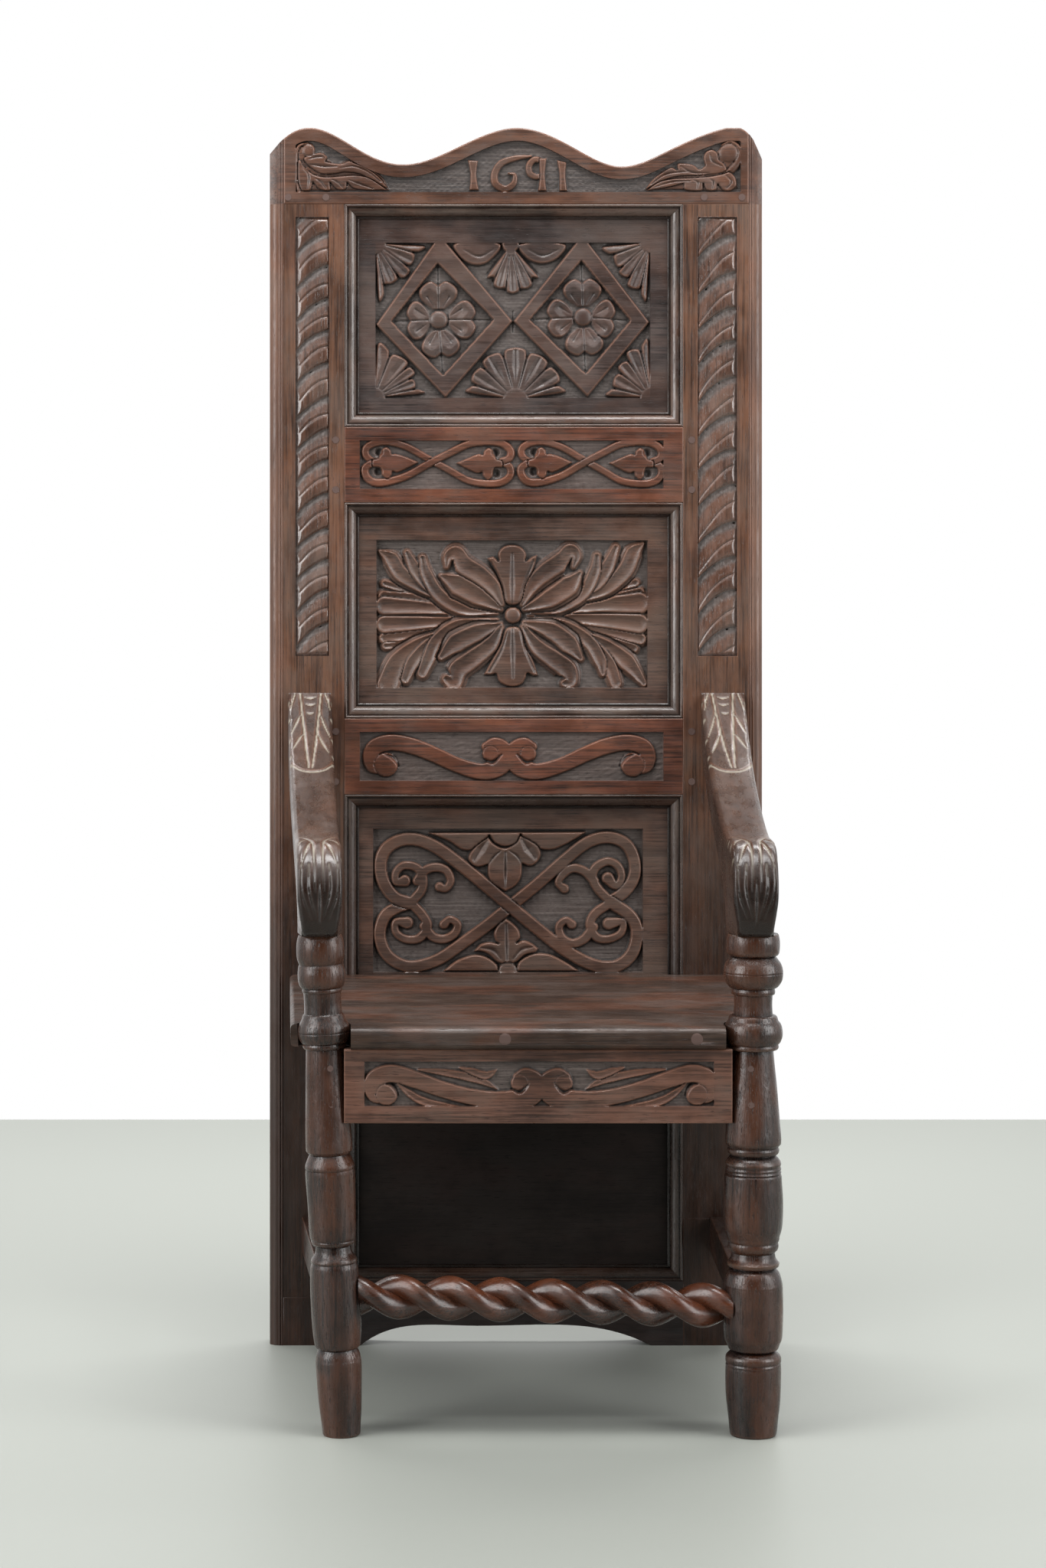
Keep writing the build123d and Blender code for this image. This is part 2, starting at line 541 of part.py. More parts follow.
def bottom_back_rail():
    """The lowest rail of the back, with a low arch cut in its underside."""
    body = block(INNER_EDGE[LEFT], INNER_EDGE[RIGHT], FRONT_Y, BACK_Y, 0, BOTTOM_RAIL_HEIGHT)
    left = INNER_EDGE[LEFT] + LEFT_ARCH_MARGIN
    right = INNER_EDGE[RIGHT] - RIGHT_ARCH_MARGIN
    crown = [(left + share * (right - left), rise * ARCH_HEIGHT) for share, rise in ARCH_SHAPE]
    curve = Spline((left, 0), *crown, (right, 0))
    arch = across_y(make_face([curve, Line(curve @ 1, curve @ 0)]), FRONT_Y - OVERCUT, BACK_Y + OVERCUT)
    cuts = rail_grooves(0, BOTTOM_RAIL_HEIGHT, True, False) + [arch]
    for side in (LEFT, RIGHT):
        body += back_rail_tenon(side, BOTTOM_TENON_BOTTOM, BOTTOM_TENON_TOP, TENON_LENGTH)
        cuts += pegs(rail_peg_places(side), FRONT_Y, BACK_Y, PEG_CLEARANCE)
    return cut(body, cuts)


def crest_top():
    """The crest rail's top line in X and Z, with three rounded crests."""
    scale = HALF_WIDTH / CREST_TOP_LINE[-1][0]
    return Spline(*[(x * scale, CHAIR_HEIGHT - drop) for x, drop in CREST_TOP_LINE])


def crest_face():
    """The crest rail's front outline."""
    top = crest_top()
    sides = Polyline(top @ 1, (HALF_WIDTH, CREST_JOINT), (-HALF_WIDTH, CREST_JOINT), top @ 0)
    return make_face([top, sides])


def crest_field():
    """The crest rail's sunk field, whose top edge keeps one border's width inside the top line."""
    top = crest_top()
    points = []
    for index in range(CREST_FIELD_STEPS + 1):
        share = CREST_FIELD_START + (1.0 - 2 * CREST_FIELD_START) * index / CREST_FIELD_STEPS
        place = top @ share
        along = (top % share).normalized()
        points.append((place.X + along.Y * CREST_BORDER, place.Y - along.X * CREST_BORDER))
    bottom = CREST_JOINT + CREST_FIELD_RISE
    line = Spline(*points)
    start, end = (line @ 0).X, (line @ 1).X
    face = make_face([line, Polyline(line @ 1, (end, bottom), (start, bottom), line @ 0)])
    left = -HALF_WIDTH + LEFT_CREST_MARGIN
    right = HALF_WIDTH - RIGHT_CREST_MARGIN
    window = block(left, right, FRONT_Y - OVERCUT, FRONT_Y + SINKING, bottom, CHAIR_HEIGHT)
    return across_y(face, FRONT_Y - OVERCUT, FRONT_Y + SINKING) & window


def edge_waste(side):
    """What is planed off an end of the crest rail, so that the stile's edge moulding runs on up it."""
    x0, x1 = mirror_span(side, HALF_WIDTH - EDGE_RUN, HALF_WIDTH + OVERCUT)
    bottom = CREST_JOINT - OVERCUT
    top = CHAIR_HEIGHT + OVERCUT
    square = block(x0, x1, FRONT_Y - OVERCUT, FRONT_Y + EDGE_OVOLO_DEPTH, bottom, top)
    return square - upwards(stile_plan(side), bottom, top)


def crest_rail():
    """The crest rail, which sits on both stiles and closes the upper panel's opening."""
    body = across_y(crest_face(), FRONT_Y, BACK_Y)
    cuts = rail_grooves(CREST_JOINT, CHAIR_HEIGHT, False, True) + [crest_field()]
    for side in (LEFT, RIGHT):
        cuts += [edge_waste(side), stile_tenon(side, *MORTISE_ROOM)]
        cuts += pegs(crest_peg_places(side), FRONT_Y - OVERCUT, BACK_Y + OVERCUT, PEG_CLEARANCE)
    return cut(body, cuts)


# ---- panels and mouldings ----
def panel(z0, z1):
    """A panel: a field as large as its opening and a thinner tongue that floats in the grooves."""
    left = INNER_EDGE[LEFT]
    right = INNER_EDGE[RIGHT]
    front = FRONT_Y + PANEL_SETBACK
    back = front + PANEL_THICKNESS
    field = block(left + PANEL_GAP, right - PANEL_GAP, front, back, z0 + PANEL_GAP, z1 - PANEL_GAP)
    reach = GROOVE_DEPTH - TONGUE_END_GAP
    tongue_front = FRONT_Y + GROOVE_SETBACK + TONGUE_CLEARANCE
    tongue_back = FRONT_Y + GROOVE_SETBACK + GROOVE_WIDTH - TONGUE_CLEARANCE
    tongue = block(left - reach, right + reach, tongue_front, tongue_back, z0 - reach, z1 + reach)
    return field + tongue


def moulding_section():
    """The moulding's section: X runs from the frame to the panel, and Y is minus the depth."""
    half_bead = MOULDING_BEAD / 2
    shoulder = MOULDING_WIDTH - MOULDING_FILLET
    floor = PANEL_SETBACK - MOULDING_FILLET_DEPTH
    ovolo_start = MOULDING_BEAD + MOULDING_STEP
    ovolo_end = floor - MOULDING_LIP
    middle_reach = ovolo_start + (shoulder - ovolo_start) * MOULDING_BELLY[0]
    middle_depth = MOULDING_QUIRK + (ovolo_end - MOULDING_QUIRK) * MOULDING_BELLY[1]
    steps = [
        (0, -half_bead),
        (half_bead, 0, MOULDING_BEAD, -half_bead),
        (MOULDING_BEAD, -MOULDING_QUIRK),
        (ovolo_start, -MOULDING_QUIRK),
        (middle_reach, -middle_depth, shoulder, -ovolo_end),
        (shoulder, -floor),
        (MOULDING_WIDTH, -floor),
        (MOULDING_WIDTH, -PANEL_SETBACK),
    ]
    return profile((0, -PANEL_SETBACK), steps)


def moulding_strips(z0, z1):
    """Four strips of moulding, mitred at the corners, that are planted round one panel."""
    x0 = INNER_EDGE[LEFT]
    x1 = INNER_EDGE[RIGHT]
    wide = MOULDING_WIDTH
    corners = [(x0, z0), (x1, z0), (x1, z1), (x0, z1)]
    inner = [(x0 + wide, z0 + wide), (x1 - wide, z0 + wide), (x1 - wide, z1 - wide), (x0 + wide, z1 - wide)]
    runs = [(1, 0), (0, 1), (-1, 0), (0, -1)]
    strips = []
    for index, run in enumerate(runs):
        after = (index + 1) % 4
        here, there = corners[index], corners[after]
        length = math.dist(here, there)
        along = Vector(run[0], 0, run[1])
        inwards = Vector(-run[1], 0, run[0])
        plane = Plane(origin=(here[0], FRONT_Y, here[1]), x_dir=inwards, z_dir=along)
        bar = extrude(plane * moulding_section(), amount=length, dir=along)
        nudge = (run[0] * MITRE_GAP, run[1] * MITRE_GAP)
        outline = [
            (here[0] + nudge[0], here[1] + nudge[1]),
            (there[0] - nudge[0], there[1] - nudge[1]),
            (inner[after][0] - nudge[0], inner[after][1] - nudge[1]),
            (inner[index][0] + nudge[0], inner[index][1] + nudge[1]),
        ]
        mitre = across_y(make_face(Polyline(*outline, close=True)), FRONT_Y - OVERCUT, BACK_Y)
        strips.append(bar & mitre)
    return strips


# ---- seat frame ----
def side_rail_front_tenon(side, grow=0.0, end_gap=0.0):
    """A side rail's tenon in the leg, which stops short of the front rail's tenon."""
    bottom = SEAT_BOTTOM - SIDE_RAIL_HEIGHT
    x = leg_axis_x(side, bottom + SIDE_RAIL_HEIGHT / 2)
    y0 = LEG_Y + TENON_THICKNESS / 2 + MORTISE_END_GAP - end_gap / 2
    return side_tenon(x, bottom, SIDE_RAIL_HEIGHT, y0, LEG_Y + SIDE_TENON_ROOT, grow)


def side_rail_back_tenon(side, grow=0.0, end_gap=0.0):
    """A side rail's tenon in the stile."""
    y1 = FRONT_Y + SEAT_RAIL_TENON_LENGTH + end_gap
    x = side * SIDE_RAIL_TENON_X
    return side_tenon(x, SEAT_BOTTOM - SIDE_RAIL_HEIGHT, SIDE_RAIL_HEIGHT, FRONT_Y - OVERCUT, y1, grow)


def side_stretcher_front_tenon(side, grow=0.0, end_gap=0.0):
    """A side stretcher's tenon in the leg."""
    x = leg_axis_x(side, SIDE_STRETCHER_BOTTOM + SIDE_STRETCHER_HEIGHT / 2)
    y0 = LEG_Y + SIDE_STRETCHER_TENON - end_gap
    return side_tenon(x, SIDE_STRETCHER_BOTTOM, SIDE_STRETCHER_HEIGHT, y0, LEG_Y + SIDE_TENON_ROOT, grow)


def side_stretcher_back_tenon(side, grow=0.0, end_gap=0.0):
    """A side stretcher's tenon in the stile or its foot."""
    y1 = FRONT_Y + SEAT_RAIL_TENON_LENGTH + end_gap
    x = side * SIDE_STRETCHER_BACK_X
    return side_tenon(x, SIDE_STRETCHER_BOTTOM, SIDE_STRETCHER_HEIGHT, FRONT_Y - OVERCUT, y1, grow)


def nose_end(side):
    """X of one end of the seat's nose, which fits between the legs."""
    collar = max(row[1] for row in LEG_SPANS[side][COLLAR_SPAN])
    return leg_axis_x(side, SEAT_TOP) - side * (collar + SEAT_TONGUE_GAP)


def seat_board():
    """The seat: one board with a tongue between the legs, a rounded nose and two plug holes."""
    nose = LEG_Y - SEAT_NOSE
    left, right = nose_end(LEFT), nose_end(RIGHT)
    half_back = HALF_WIDTH - SEAT_BACK_INSET
    half_front = HALF_WIDTH - SEAT_FRONT_INSET
    outline = Polyline(
        (-half_back, FRONT_Y), (-half_front, LEG_Y), (left, LEG_Y), (left, nose),
        (right, nose), (right, LEG_Y), (half_front, LEG_Y), (half_back, FRONT_Y),
        close=True,
    )
    board = upwards(make_face(outline), SEAT_BOTTOM, SEAT_TOP)

    def along_nose(edge):
        return abs(edge.center().Y - nose) < SAME_PLACE

    def along_side(edge):
        middle = Vector(abs(edge.center().X), edge.center().Y)
        return (middle - Vector((half_back + half_front) / 2, (FRONT_Y + LEG_Y) / 2)).length < SAME_PLACE

    board = fillet(board.edges().filter_by(Axis.X).filter_by(along_nose), SEAT_NOSE_ROUND)
    board = fillet(board.edges().filter_by(along_side), SEAT_EDGE_ROUND)
    return cut(board, [leg_round(side, COLLAR_SPAN, COPE_CLEARANCE) for side in (LEFT, RIGHT)])


def seat_plugs(grow=0.0):
    """Round plugs let into the seat's front edge."""
    nose = LEG_Y - SEAT_NOSE
    middle = (SEAT_BOTTOM + SEAT_TOP) / 2
    places = (nose_end(LEFT) + LEFT_PLUG_PLACE, nose_end(RIGHT) - RIGHT_PLUG_PLACE)
    return [rod(x, middle, nose, nose + PLUG_DEPTH, PLUG_DIAMETER + 2 * grow) for x in places]


def front_seat_rail():
    """The carved rail under the seat's front, cut at its ends to fit the round legs."""
    z0 = SEAT_BOTTOM - FRONT_RAIL_HEIGHT
    front = LEG_Y - FRONT_RAIL_AHEAD
    ends = {side: leg_axis_x(side, SEAT_BOTTOM) - side * FRONT_RAIL_SHOULDER for side in (LEFT, RIGHT)}
    body = block(ends[LEFT], ends[RIGHT], front, front + FRONT_RAIL_THICKNESS, z0, SEAT_BOTTOM)
    for side in (LEFT, RIGHT):
        body -= turned_body(side, COPE_CLEARANCE)
    x0, x1 = ends[LEFT] + FRONT_FIELD_MARGIN_X, ends[RIGHT] - FRONT_FIELD_MARGIN_X
    low, high = z0 + FRONT_FIELD_MARGIN_Z, SEAT_BOTTOM - FRONT_FIELD_MARGIN_Z
    body -= block(x0, x1, front - OVERCUT, front + SINKING, low, high)
    for side in (LEFT, RIGHT):
        body += front_rail_tenon(side)
    return cut(body, seat_frame_pegs(PEG_CLEARANCE))


def seat_frame_pegs(grow=0.0):
    """Pegs through the legs that pin the front seat rail's tenons."""
    y0 = LEG_Y - LEG_PEG_REACH
    y1 = LEG_Y + TENON_THICKNESS / 2 + OVERCUT
    shapes = []
    for side in (LEFT, RIGHT):
        for rise in (LEG_PEG_FROM_EDGE, FRONT_RAIL_HEIGHT - LEG_PEG_FROM_EDGE):
            z = SEAT_BOTTOM - FRONT_RAIL_HEIGHT + rise
            x = leg_axis_x(side, z) - side * LEG_PEG_INSET
            shapes.append(rod(x, z, y0, y1, LEG_PEG_DIAMETER + 2 * grow))
    return shapes


def side_seat_rail(side):
    """A side rail under the seat, from the leg to the stile."""
    z0 = SEAT_BOTTOM - SIDE_RAIL_HEIGHT
    inner = abs(leg_axis_x(side, SEAT_BOTTOM - SIDE_RAIL_HEIGHT / 2)) - SIDE_RAIL_INSET
    x0, x1 = mirror_span(side, inner, inner + SIDE_RAIL_THICKNESS)
    body = block(x0, x1, LEG_Y + SIDE_BLANK_START, FRONT_Y, z0, SEAT_BOTTOM)
    body -= turned_body(side, COPE_CLEARANCE)
    front_rail_back = LEG_Y - FRONT_RAIL_AHEAD + FRONT_RAIL_THICKNESS + COPE_CLEARANCE
    body -= block(0, x0 + side * SIDE_RAIL_NOTCH, LEG_Y, front_rail_back, z0 - OVERCUT, SEAT_BOTTOM + OVERCUT)
    heads = pegs(rail_peg_places(side), FRONT_Y - PEG_PROUD - PEG_CLEARANCE, FRONT_Y, PEG_CLEARANCE)
    return cut(body, heads) + [side_rail_front_tenon(side), side_rail_back_tenon(side)]


def side_stretcher(side):
    """A plain low stretcher from the leg to the stile's foot, which comes inwards towards the front."""
    z0 = SIDE_STRETCHER_BOTTOM
    half = SIDE_STRETCHER_THICKNESS / 2
    front_x = leg_axis_x(side, z0 + SIDE_STRETCHER_HEIGHT / 2)
    back_x = side * SIDE_STRETCHER_BACK_X
    front = LEG_Y + SIDE_BLANK_START
    outline = Polyline(
        (front_x - half, front), (front_x + half, front), (back_x + half, FRONT_Y), (back_x - half, FRONT_Y),
        close=True,
    )
    body = upwards(make_face(outline), z0, z0 + SIDE_STRETCHER_HEIGHT)
    body -= turned_body(side, COPE_CLEARANCE)
    return body + [side_stretcher_front_tenon(side), side_stretcher_back_tenon(side)]


# ---- front stretcher ----
def twist_run():
    """Where the twisted stretcher's tenons end inside the two legs."""
    points = {side: Vector(leg_axis_x(side, height), LEG_Y, height) for side, height in TWIST_HEIGHT.items()}
    run = (points[RIGHT] - points[LEFT]).normalized()
    for side in (LEFT, RIGHT):
        radius = max(row[1] for row in LEG_SPANS[side][STRETCHER_SPAN])
        points[side] -= run * side * (radius - TWIST_TENON_LENGTH)
    return points[LEFT], points[RIGHT]


def twist_core(grow=0.0, end_gap=0.0):
    """The round core of the twist, from tenon end to tenon end."""
    left, right = twist_run()
    run = (right - left).normalized()
    plane = Plane(origin=left - run * end_gap, z_dir=run)
    length = (right - left).length + 2 * end_gap
    return extrude(plane * Circle(TWIST_TENON_DIAMETER / 2 + grow), amount=length, dir=run)


def front_stretcher():
    """The double barley-twist stretcher, cut round its core to fit the round legs."""
    left, right = twist_run()
    run = right - left
    strand_offset = TWIST_RADIUS - TWIST_STRAND_RADIUS
    strand = Circle(TWIST_STRAND_RADIUS)
    section = Pos(strand_offset, 0) * strand + Pos(-strand_offset, 0) * strand
    start = Plane(origin=left, x_dir=(0, 0, 1), z_dir=run)
    turned = 360.0 * run.length / TWIST_LEAD
    face = (start * Rot(0, 0, TWIST_START_ANGLE) * section).face()
    body = Part() + Solid.extrude_linear_with_rotation(face, left, run, turned)
    core = twist_core(end_gap=OVERCUT)
    return cut(body, [leg_round(side, STRETCHER_SPAN, COPE_CLEARANCE) - core for side in (LEFT, RIGHT)])


def front_leg(side):
    """A turned front leg, cut level at both ends, with mortises and the pin that holds the arm."""
    slab = block(-BACK_WIDTH, BACK_WIDTH, -OVERALL_DEPTH, OVERALL_DEPTH, 0, ARM_SEAT)
    body = (turned_body(side) & slab) + leg_pin(side)
    cuts = [
        front_rail_tenon(side, *MORTISE_ROOM),
        side_rail_front_tenon(side, *MORTISE_ROOM),
        side_stretcher_front_tenon(side, *MORTISE_ROOM),
        twist_core(*MORTISE_ROOM),
    ]
    return cut(body, cuts + seat_frame_pegs(PEG_CLEARANCE))


# ---- arms ----
def arm_top_line():
    """The line along an arm's top, in Y and Z: the drop from the stile, then the roll over the leg."""
    centre_y = LEG_Y + ARM_SCROLL_BACK
    drop = ARM_BACK_TOP - ARM_SCROLL_TOP
    run = FRONT_Y - centre_y
    slope = [(FRONT_Y - share * run, ARM_SCROLL_TOP + left * drop) for share, left in ARM_TOP_SHAPE]
    top = Spline((FRONT_Y, ARM_BACK_TOP), *slope, (centre_y, ARM_SCROLL_TOP))
    reach = ARM_SCROLL_RADIUS * math.cos(math.pi / 4)
    centre_z = ARM_SCROLL_TOP - ARM_SCROLL_RADIUS
    front = (centre_y - ARM_SCROLL_RADIUS, centre_z)
    roll = ThreePointArc(top @ 1, (centre_y - reach, centre_z + reach), front)
    return top, roll


def arm_side_face():
    """An arm seen from the side, in Y and Z."""
    top, roll = arm_top_line()
    front = roll @ 1
    run = FRONT_Y - (top @ 1).X
    foot_front = (LEG_Y - ARM_FOOT_AHEAD, ARM_SEAT)
    foot_back = (LEG_Y + ARM_FOOT_BEHIND, ARM_SEAT)
    tuck = ThreePointArc(front, (front.X + ARM_TUCK, (front.Y + ARM_SEAT) / 2), foot_front)
    under_back = (FRONT_Y, ARM_BACK_TOP - ARM_BACK_HEIGHT)
    rise = under_back[1] - ARM_SEAT
    slope = [(FRONT_Y - share * run, ARM_SEAT + up * rise) for share, up in ARM_UNDER_SHAPE]
    under = Spline(foot_back, *slope, under_back)
    return make_face([top, roll, tuck, Line(foot_front, foot_back), under, Line(under_back, top @ 0)])


def arm(side):
    """An arm, narrower at the front and centred over its leg there, with its top edges rounded over."""
    back_x = side * ARM_BACK_X
    front_x = leg_axis_x(side, ARM_SEAT)
    half_back = ARM_BACK_WIDTH / 2
    half_front = ARM_FRONT_WIDTH / 2
    front = LEG_Y - ARM_REACH
    outline = Polyline(
        (back_x + half_back, FRONT_Y), (back_x - half_back, FRONT_Y), (front_x - half_front, front),
        (front_x + half_front, front), close=True,
    )
    body = across_x(arm_side_face(), -BACK_WIDTH, BACK_WIDTH) & upwards(make_face(outline), 0, CHAIR_HEIGHT)

    def follows_top(edge):
        middle = edge.position_at(0.5)
        place = Vector(middle.Y, middle.Z)
        across = abs(edge.tangent_at(0.5).X) > HALF_TURNED
        return not across and min(curve.distance_to(place) for curve in arm_top_line()) < ARM_EDGE_ROUND / 2

    body = fillet(body.edges().filter_by(follows_top), ARM_EDGE_ROUND)
    return body + arm_tenon(side) - leg_pin(side, MORTISE_CLEARANCE)


# ---- the whole chair ----
def sub_parts():
    """Every sub-part of the chair, by node name."""
    parts = {}
    for side, word in ((LEFT, "left"), (RIGHT, "right")):
        whole = whole_stile(side)
        region = foot_region(side)
        parts[f"{word}_back_stile"] = whole - region
        parts[f"{word}_stile_foot"] = whole & region
        parts[f"{word}_front_leg"] = front_leg(side)
        parts[f"{word}_arm"] = arm(side)
        parts[f"{word}_seat_rail"] = side_seat_rail(side)
        parts[f"{word}_stretcher"] = side_stretcher(side)
    parts["crest_rail"] = crest_rail()
    for name in BACK_RAILS:
        parts[name] = back_rail(name)
    parts["bottom_back_rail"] = bottom_back_rail()
    for name, (z0, z1) in BACK_OPENINGS.items():
        parts[name] = panel(z0, z1)
        parts[f"{name}_moulding"] = Compound(children=moulding_strips(z0, z1))
    board = seat_board()
    parts["seat_board"] = cut(board, seat_plugs(PEG_CLEARANCE))
    parts["seat_plugs"] = Compound(children=[plug & board for plug in seat_plugs()])
    parts["front_seat_rail"] = front_seat_rail()
    parts["front_stretcher"] = front_stretcher()
    places = rail_peg_places(LEFT) + rail_peg_places(RIGHT)
    parts["back_frame_pegs"] = Compound(children=pegs(places, FRONT_Y - PEG_PROUD, BACK_Y))
    places = crest_peg_places(LEFT) + crest_peg_places(RIGHT)
    parts["crest_pegs"] = Compound(children=pegs(places, FRONT_Y - PEG_PROUD, BACK_Y))
    solid_legs = {side: turned_body(side) for side in (LEFT, RIGHT)}
    frame_pegs = []
    for index, shape in enumerate(seat_frame_pegs()):
        frame_pegs.append(shape & solid_legs[LEFT if index < 2 else RIGHT])
    parts["seat_frame_pegs"] = Compound(children=frame_pegs)
    return parts


def main():
    os.makedirs("parts", exist_ok=True)
    for name, shape in sub_parts().items():
        export_step(shape, f"parts/{name}.step")


main()
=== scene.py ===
import logging
import math
from collections.abc import Callable, Iterable, Sequence
from dataclasses import dataclass
from enum import Enum

import bmesh
import bpy
import numpy as np
from mathutils import Matrix, Vector


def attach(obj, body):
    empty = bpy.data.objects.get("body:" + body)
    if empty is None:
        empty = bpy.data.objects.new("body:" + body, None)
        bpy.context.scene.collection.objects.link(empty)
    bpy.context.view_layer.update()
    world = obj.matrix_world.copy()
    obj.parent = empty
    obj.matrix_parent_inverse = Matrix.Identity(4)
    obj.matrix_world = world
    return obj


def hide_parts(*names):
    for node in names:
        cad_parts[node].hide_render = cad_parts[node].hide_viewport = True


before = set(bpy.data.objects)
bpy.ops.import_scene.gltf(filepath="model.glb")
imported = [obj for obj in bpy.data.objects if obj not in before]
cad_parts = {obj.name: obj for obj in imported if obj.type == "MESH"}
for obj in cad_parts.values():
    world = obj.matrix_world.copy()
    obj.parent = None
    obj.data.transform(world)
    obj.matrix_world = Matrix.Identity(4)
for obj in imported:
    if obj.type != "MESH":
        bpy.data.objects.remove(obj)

# Looks of a joined oak armchair with a carved, panelled back. Sizes are millimetres until a piece is
# finished, and metres after that. Left is -X, the front is -Y and Z is up.

LOG = logging.getLogger("wainscot_chair")
MM = 0.001
WELD = 0.0005  # distance under which vertices merge
BODY = "root"

Point = tuple[float, ...]  # a third number marks a corner of an outline
Stroke = tuple[Sequence[Point], Sequence[float]]  # a middle line and its widths
Colour = tuple[float, float, float, float]
Array = np.ndarray
Mesh = bmesh.types.BMesh
Tree = bpy.types.NodeTree
Socket = bpy.types.NodeSocket

# ---- places shared by the sub-assemblies ----
FACE_Y = 205.0  # front face of the back frame
BACK_Y = 237.0
LEG_Y = -195.0  # axis of the front legs
LEG_TOP = 528.0
PANEL_Y = 218.0
PANEL_GAP = 0.5
HALF_WIDTH = 287.5
INNER_LEFT = -200.5  # inner edges of the stiles
INNER_RIGHT = 194.5
CREST_JOINT = 1331.0
UPPER_RAIL_TOP = 1071.0
UPPER_RAIL_BOTTOM = 983.0
LOWER_RAIL_TOP = 731.0
LOWER_RAIL_BOTTOM = 642.5
SEAT_TOP = 432.5
SEAT_BOTTOM = 408.5
SEAT_RAIL_BOTTOM = 318.5
BOTTOM_RAIL_TOP = 75.0
RAISED = -0.4  # height of carved bands and leaves, from the board's face

# ---- wear and painted highlight ----
RUBBED = 0.9  # how worn a rounded arris is
STRIP_HIGHLIGHT = 0.6  # how much painted highlight a narrow strip between two arrises gets
LEVEL_STRIP = 0.8  # width of the flat strip beside a rounded edge, which keeps the face's shading level
FIELD_RIM = 0.9  # width of the flat strip round a carved field


class Side(Enum):
    """A side of the chair, as the sign of X."""

    LEFT = -1
    RIGHT = 1

    @property
    def word(self) -> str:
        """The side's name in node names."""
        return self.name.lower()


class Grain(Enum):
    """The way the wood's grain runs, as the index of an axis."""

    ACROSS = 0
    DEEP = 1
    UPRIGHT = 2


class Cut(Enum):
    """The section that the carver gives to a raised stroke."""

    FLAT = "flat"
    DOME = "dome"
    FLUTE = "flute"


# ---- materials ----
# Patterns in the wood: sizes across and along the grain in mm, and layers of detail. Oak's pores are 0.3 mm
# across, which is too fine to show, so they are drawn 1.1 mm wide.
FIGURE = {"grain": (2.0, 75.0, 4.0), "pores": (1.1, 15.0, 2.0), "bands": (17.0, 260.0, 2.0),
          "patches": (55.0, 120.0, 3.0), "stains": (80.0, 105.0, 4.0), "handling": (13.0, 30.0, 3.0)}
FIGURE_SHIFT = (3.1, 7.7, 1.9)  # keeps one pattern from lining up with the next
LOW_SHADE_START = 0.84  # height in metres under which painted shade darkens the wood towards the floor
LOW_SHADE_FULL = 0.34


def linear(code: str) -> Colour:
    """Turns an sRGB hex colour into linear values with an alpha of 1.

    Args:
        code: six hex digits.

    Returns:
        Red, green, blue and alpha.
    """
    parts = [int(code[i:i + 2], 16) / 255 for i in (0, 2, 4)]
    red, green, blue = (p / 12.92 if p <= 0.04045 else ((p + 0.055) / 1.055) ** 2.4 for p in parts)
    return red, green, blue, 1.0


def add_node(tree: Tree, kind: str, sockets: dict | None = None, **settings) -> bpy.types.Node:
    """Adds a shader node, sets its properties and fills its inputs.

    Args:
        tree: the material's node tree.
        kind: the node's type name.
        sockets: inputs by name or index, each a value or an output socket to link.
        **settings: the node's properties.

    Returns:
        The new node.
    """
    node = tree.nodes.new(kind)
    for key, value in settings.items():
        setattr(node, key, value)
    for key, value in (sockets or {}).items():
        socket = node.inputs[key]
        if isinstance(value, bpy.types.NodeSocket):
            tree.links.new(value, socket)
        else:
            socket.default_value = value
    return node


def weighted_sum(tree: Tree, start: float, terms: Sequence[tuple[Socket, float]]) -> Socket:
    """Adds values times their weights to a number.

    Args:
        tree: the material's node tree.
        start: the number.
        terms: each value and its weight.

    Returns:
        The sum.
    """
    total = start
    for source, weight in terms:
        total = add_node(tree, "ShaderNodeMath", {0: source, 1: weight, 2: total},
                         operation="MULTIPLY_ADD").outputs[0]
    return total


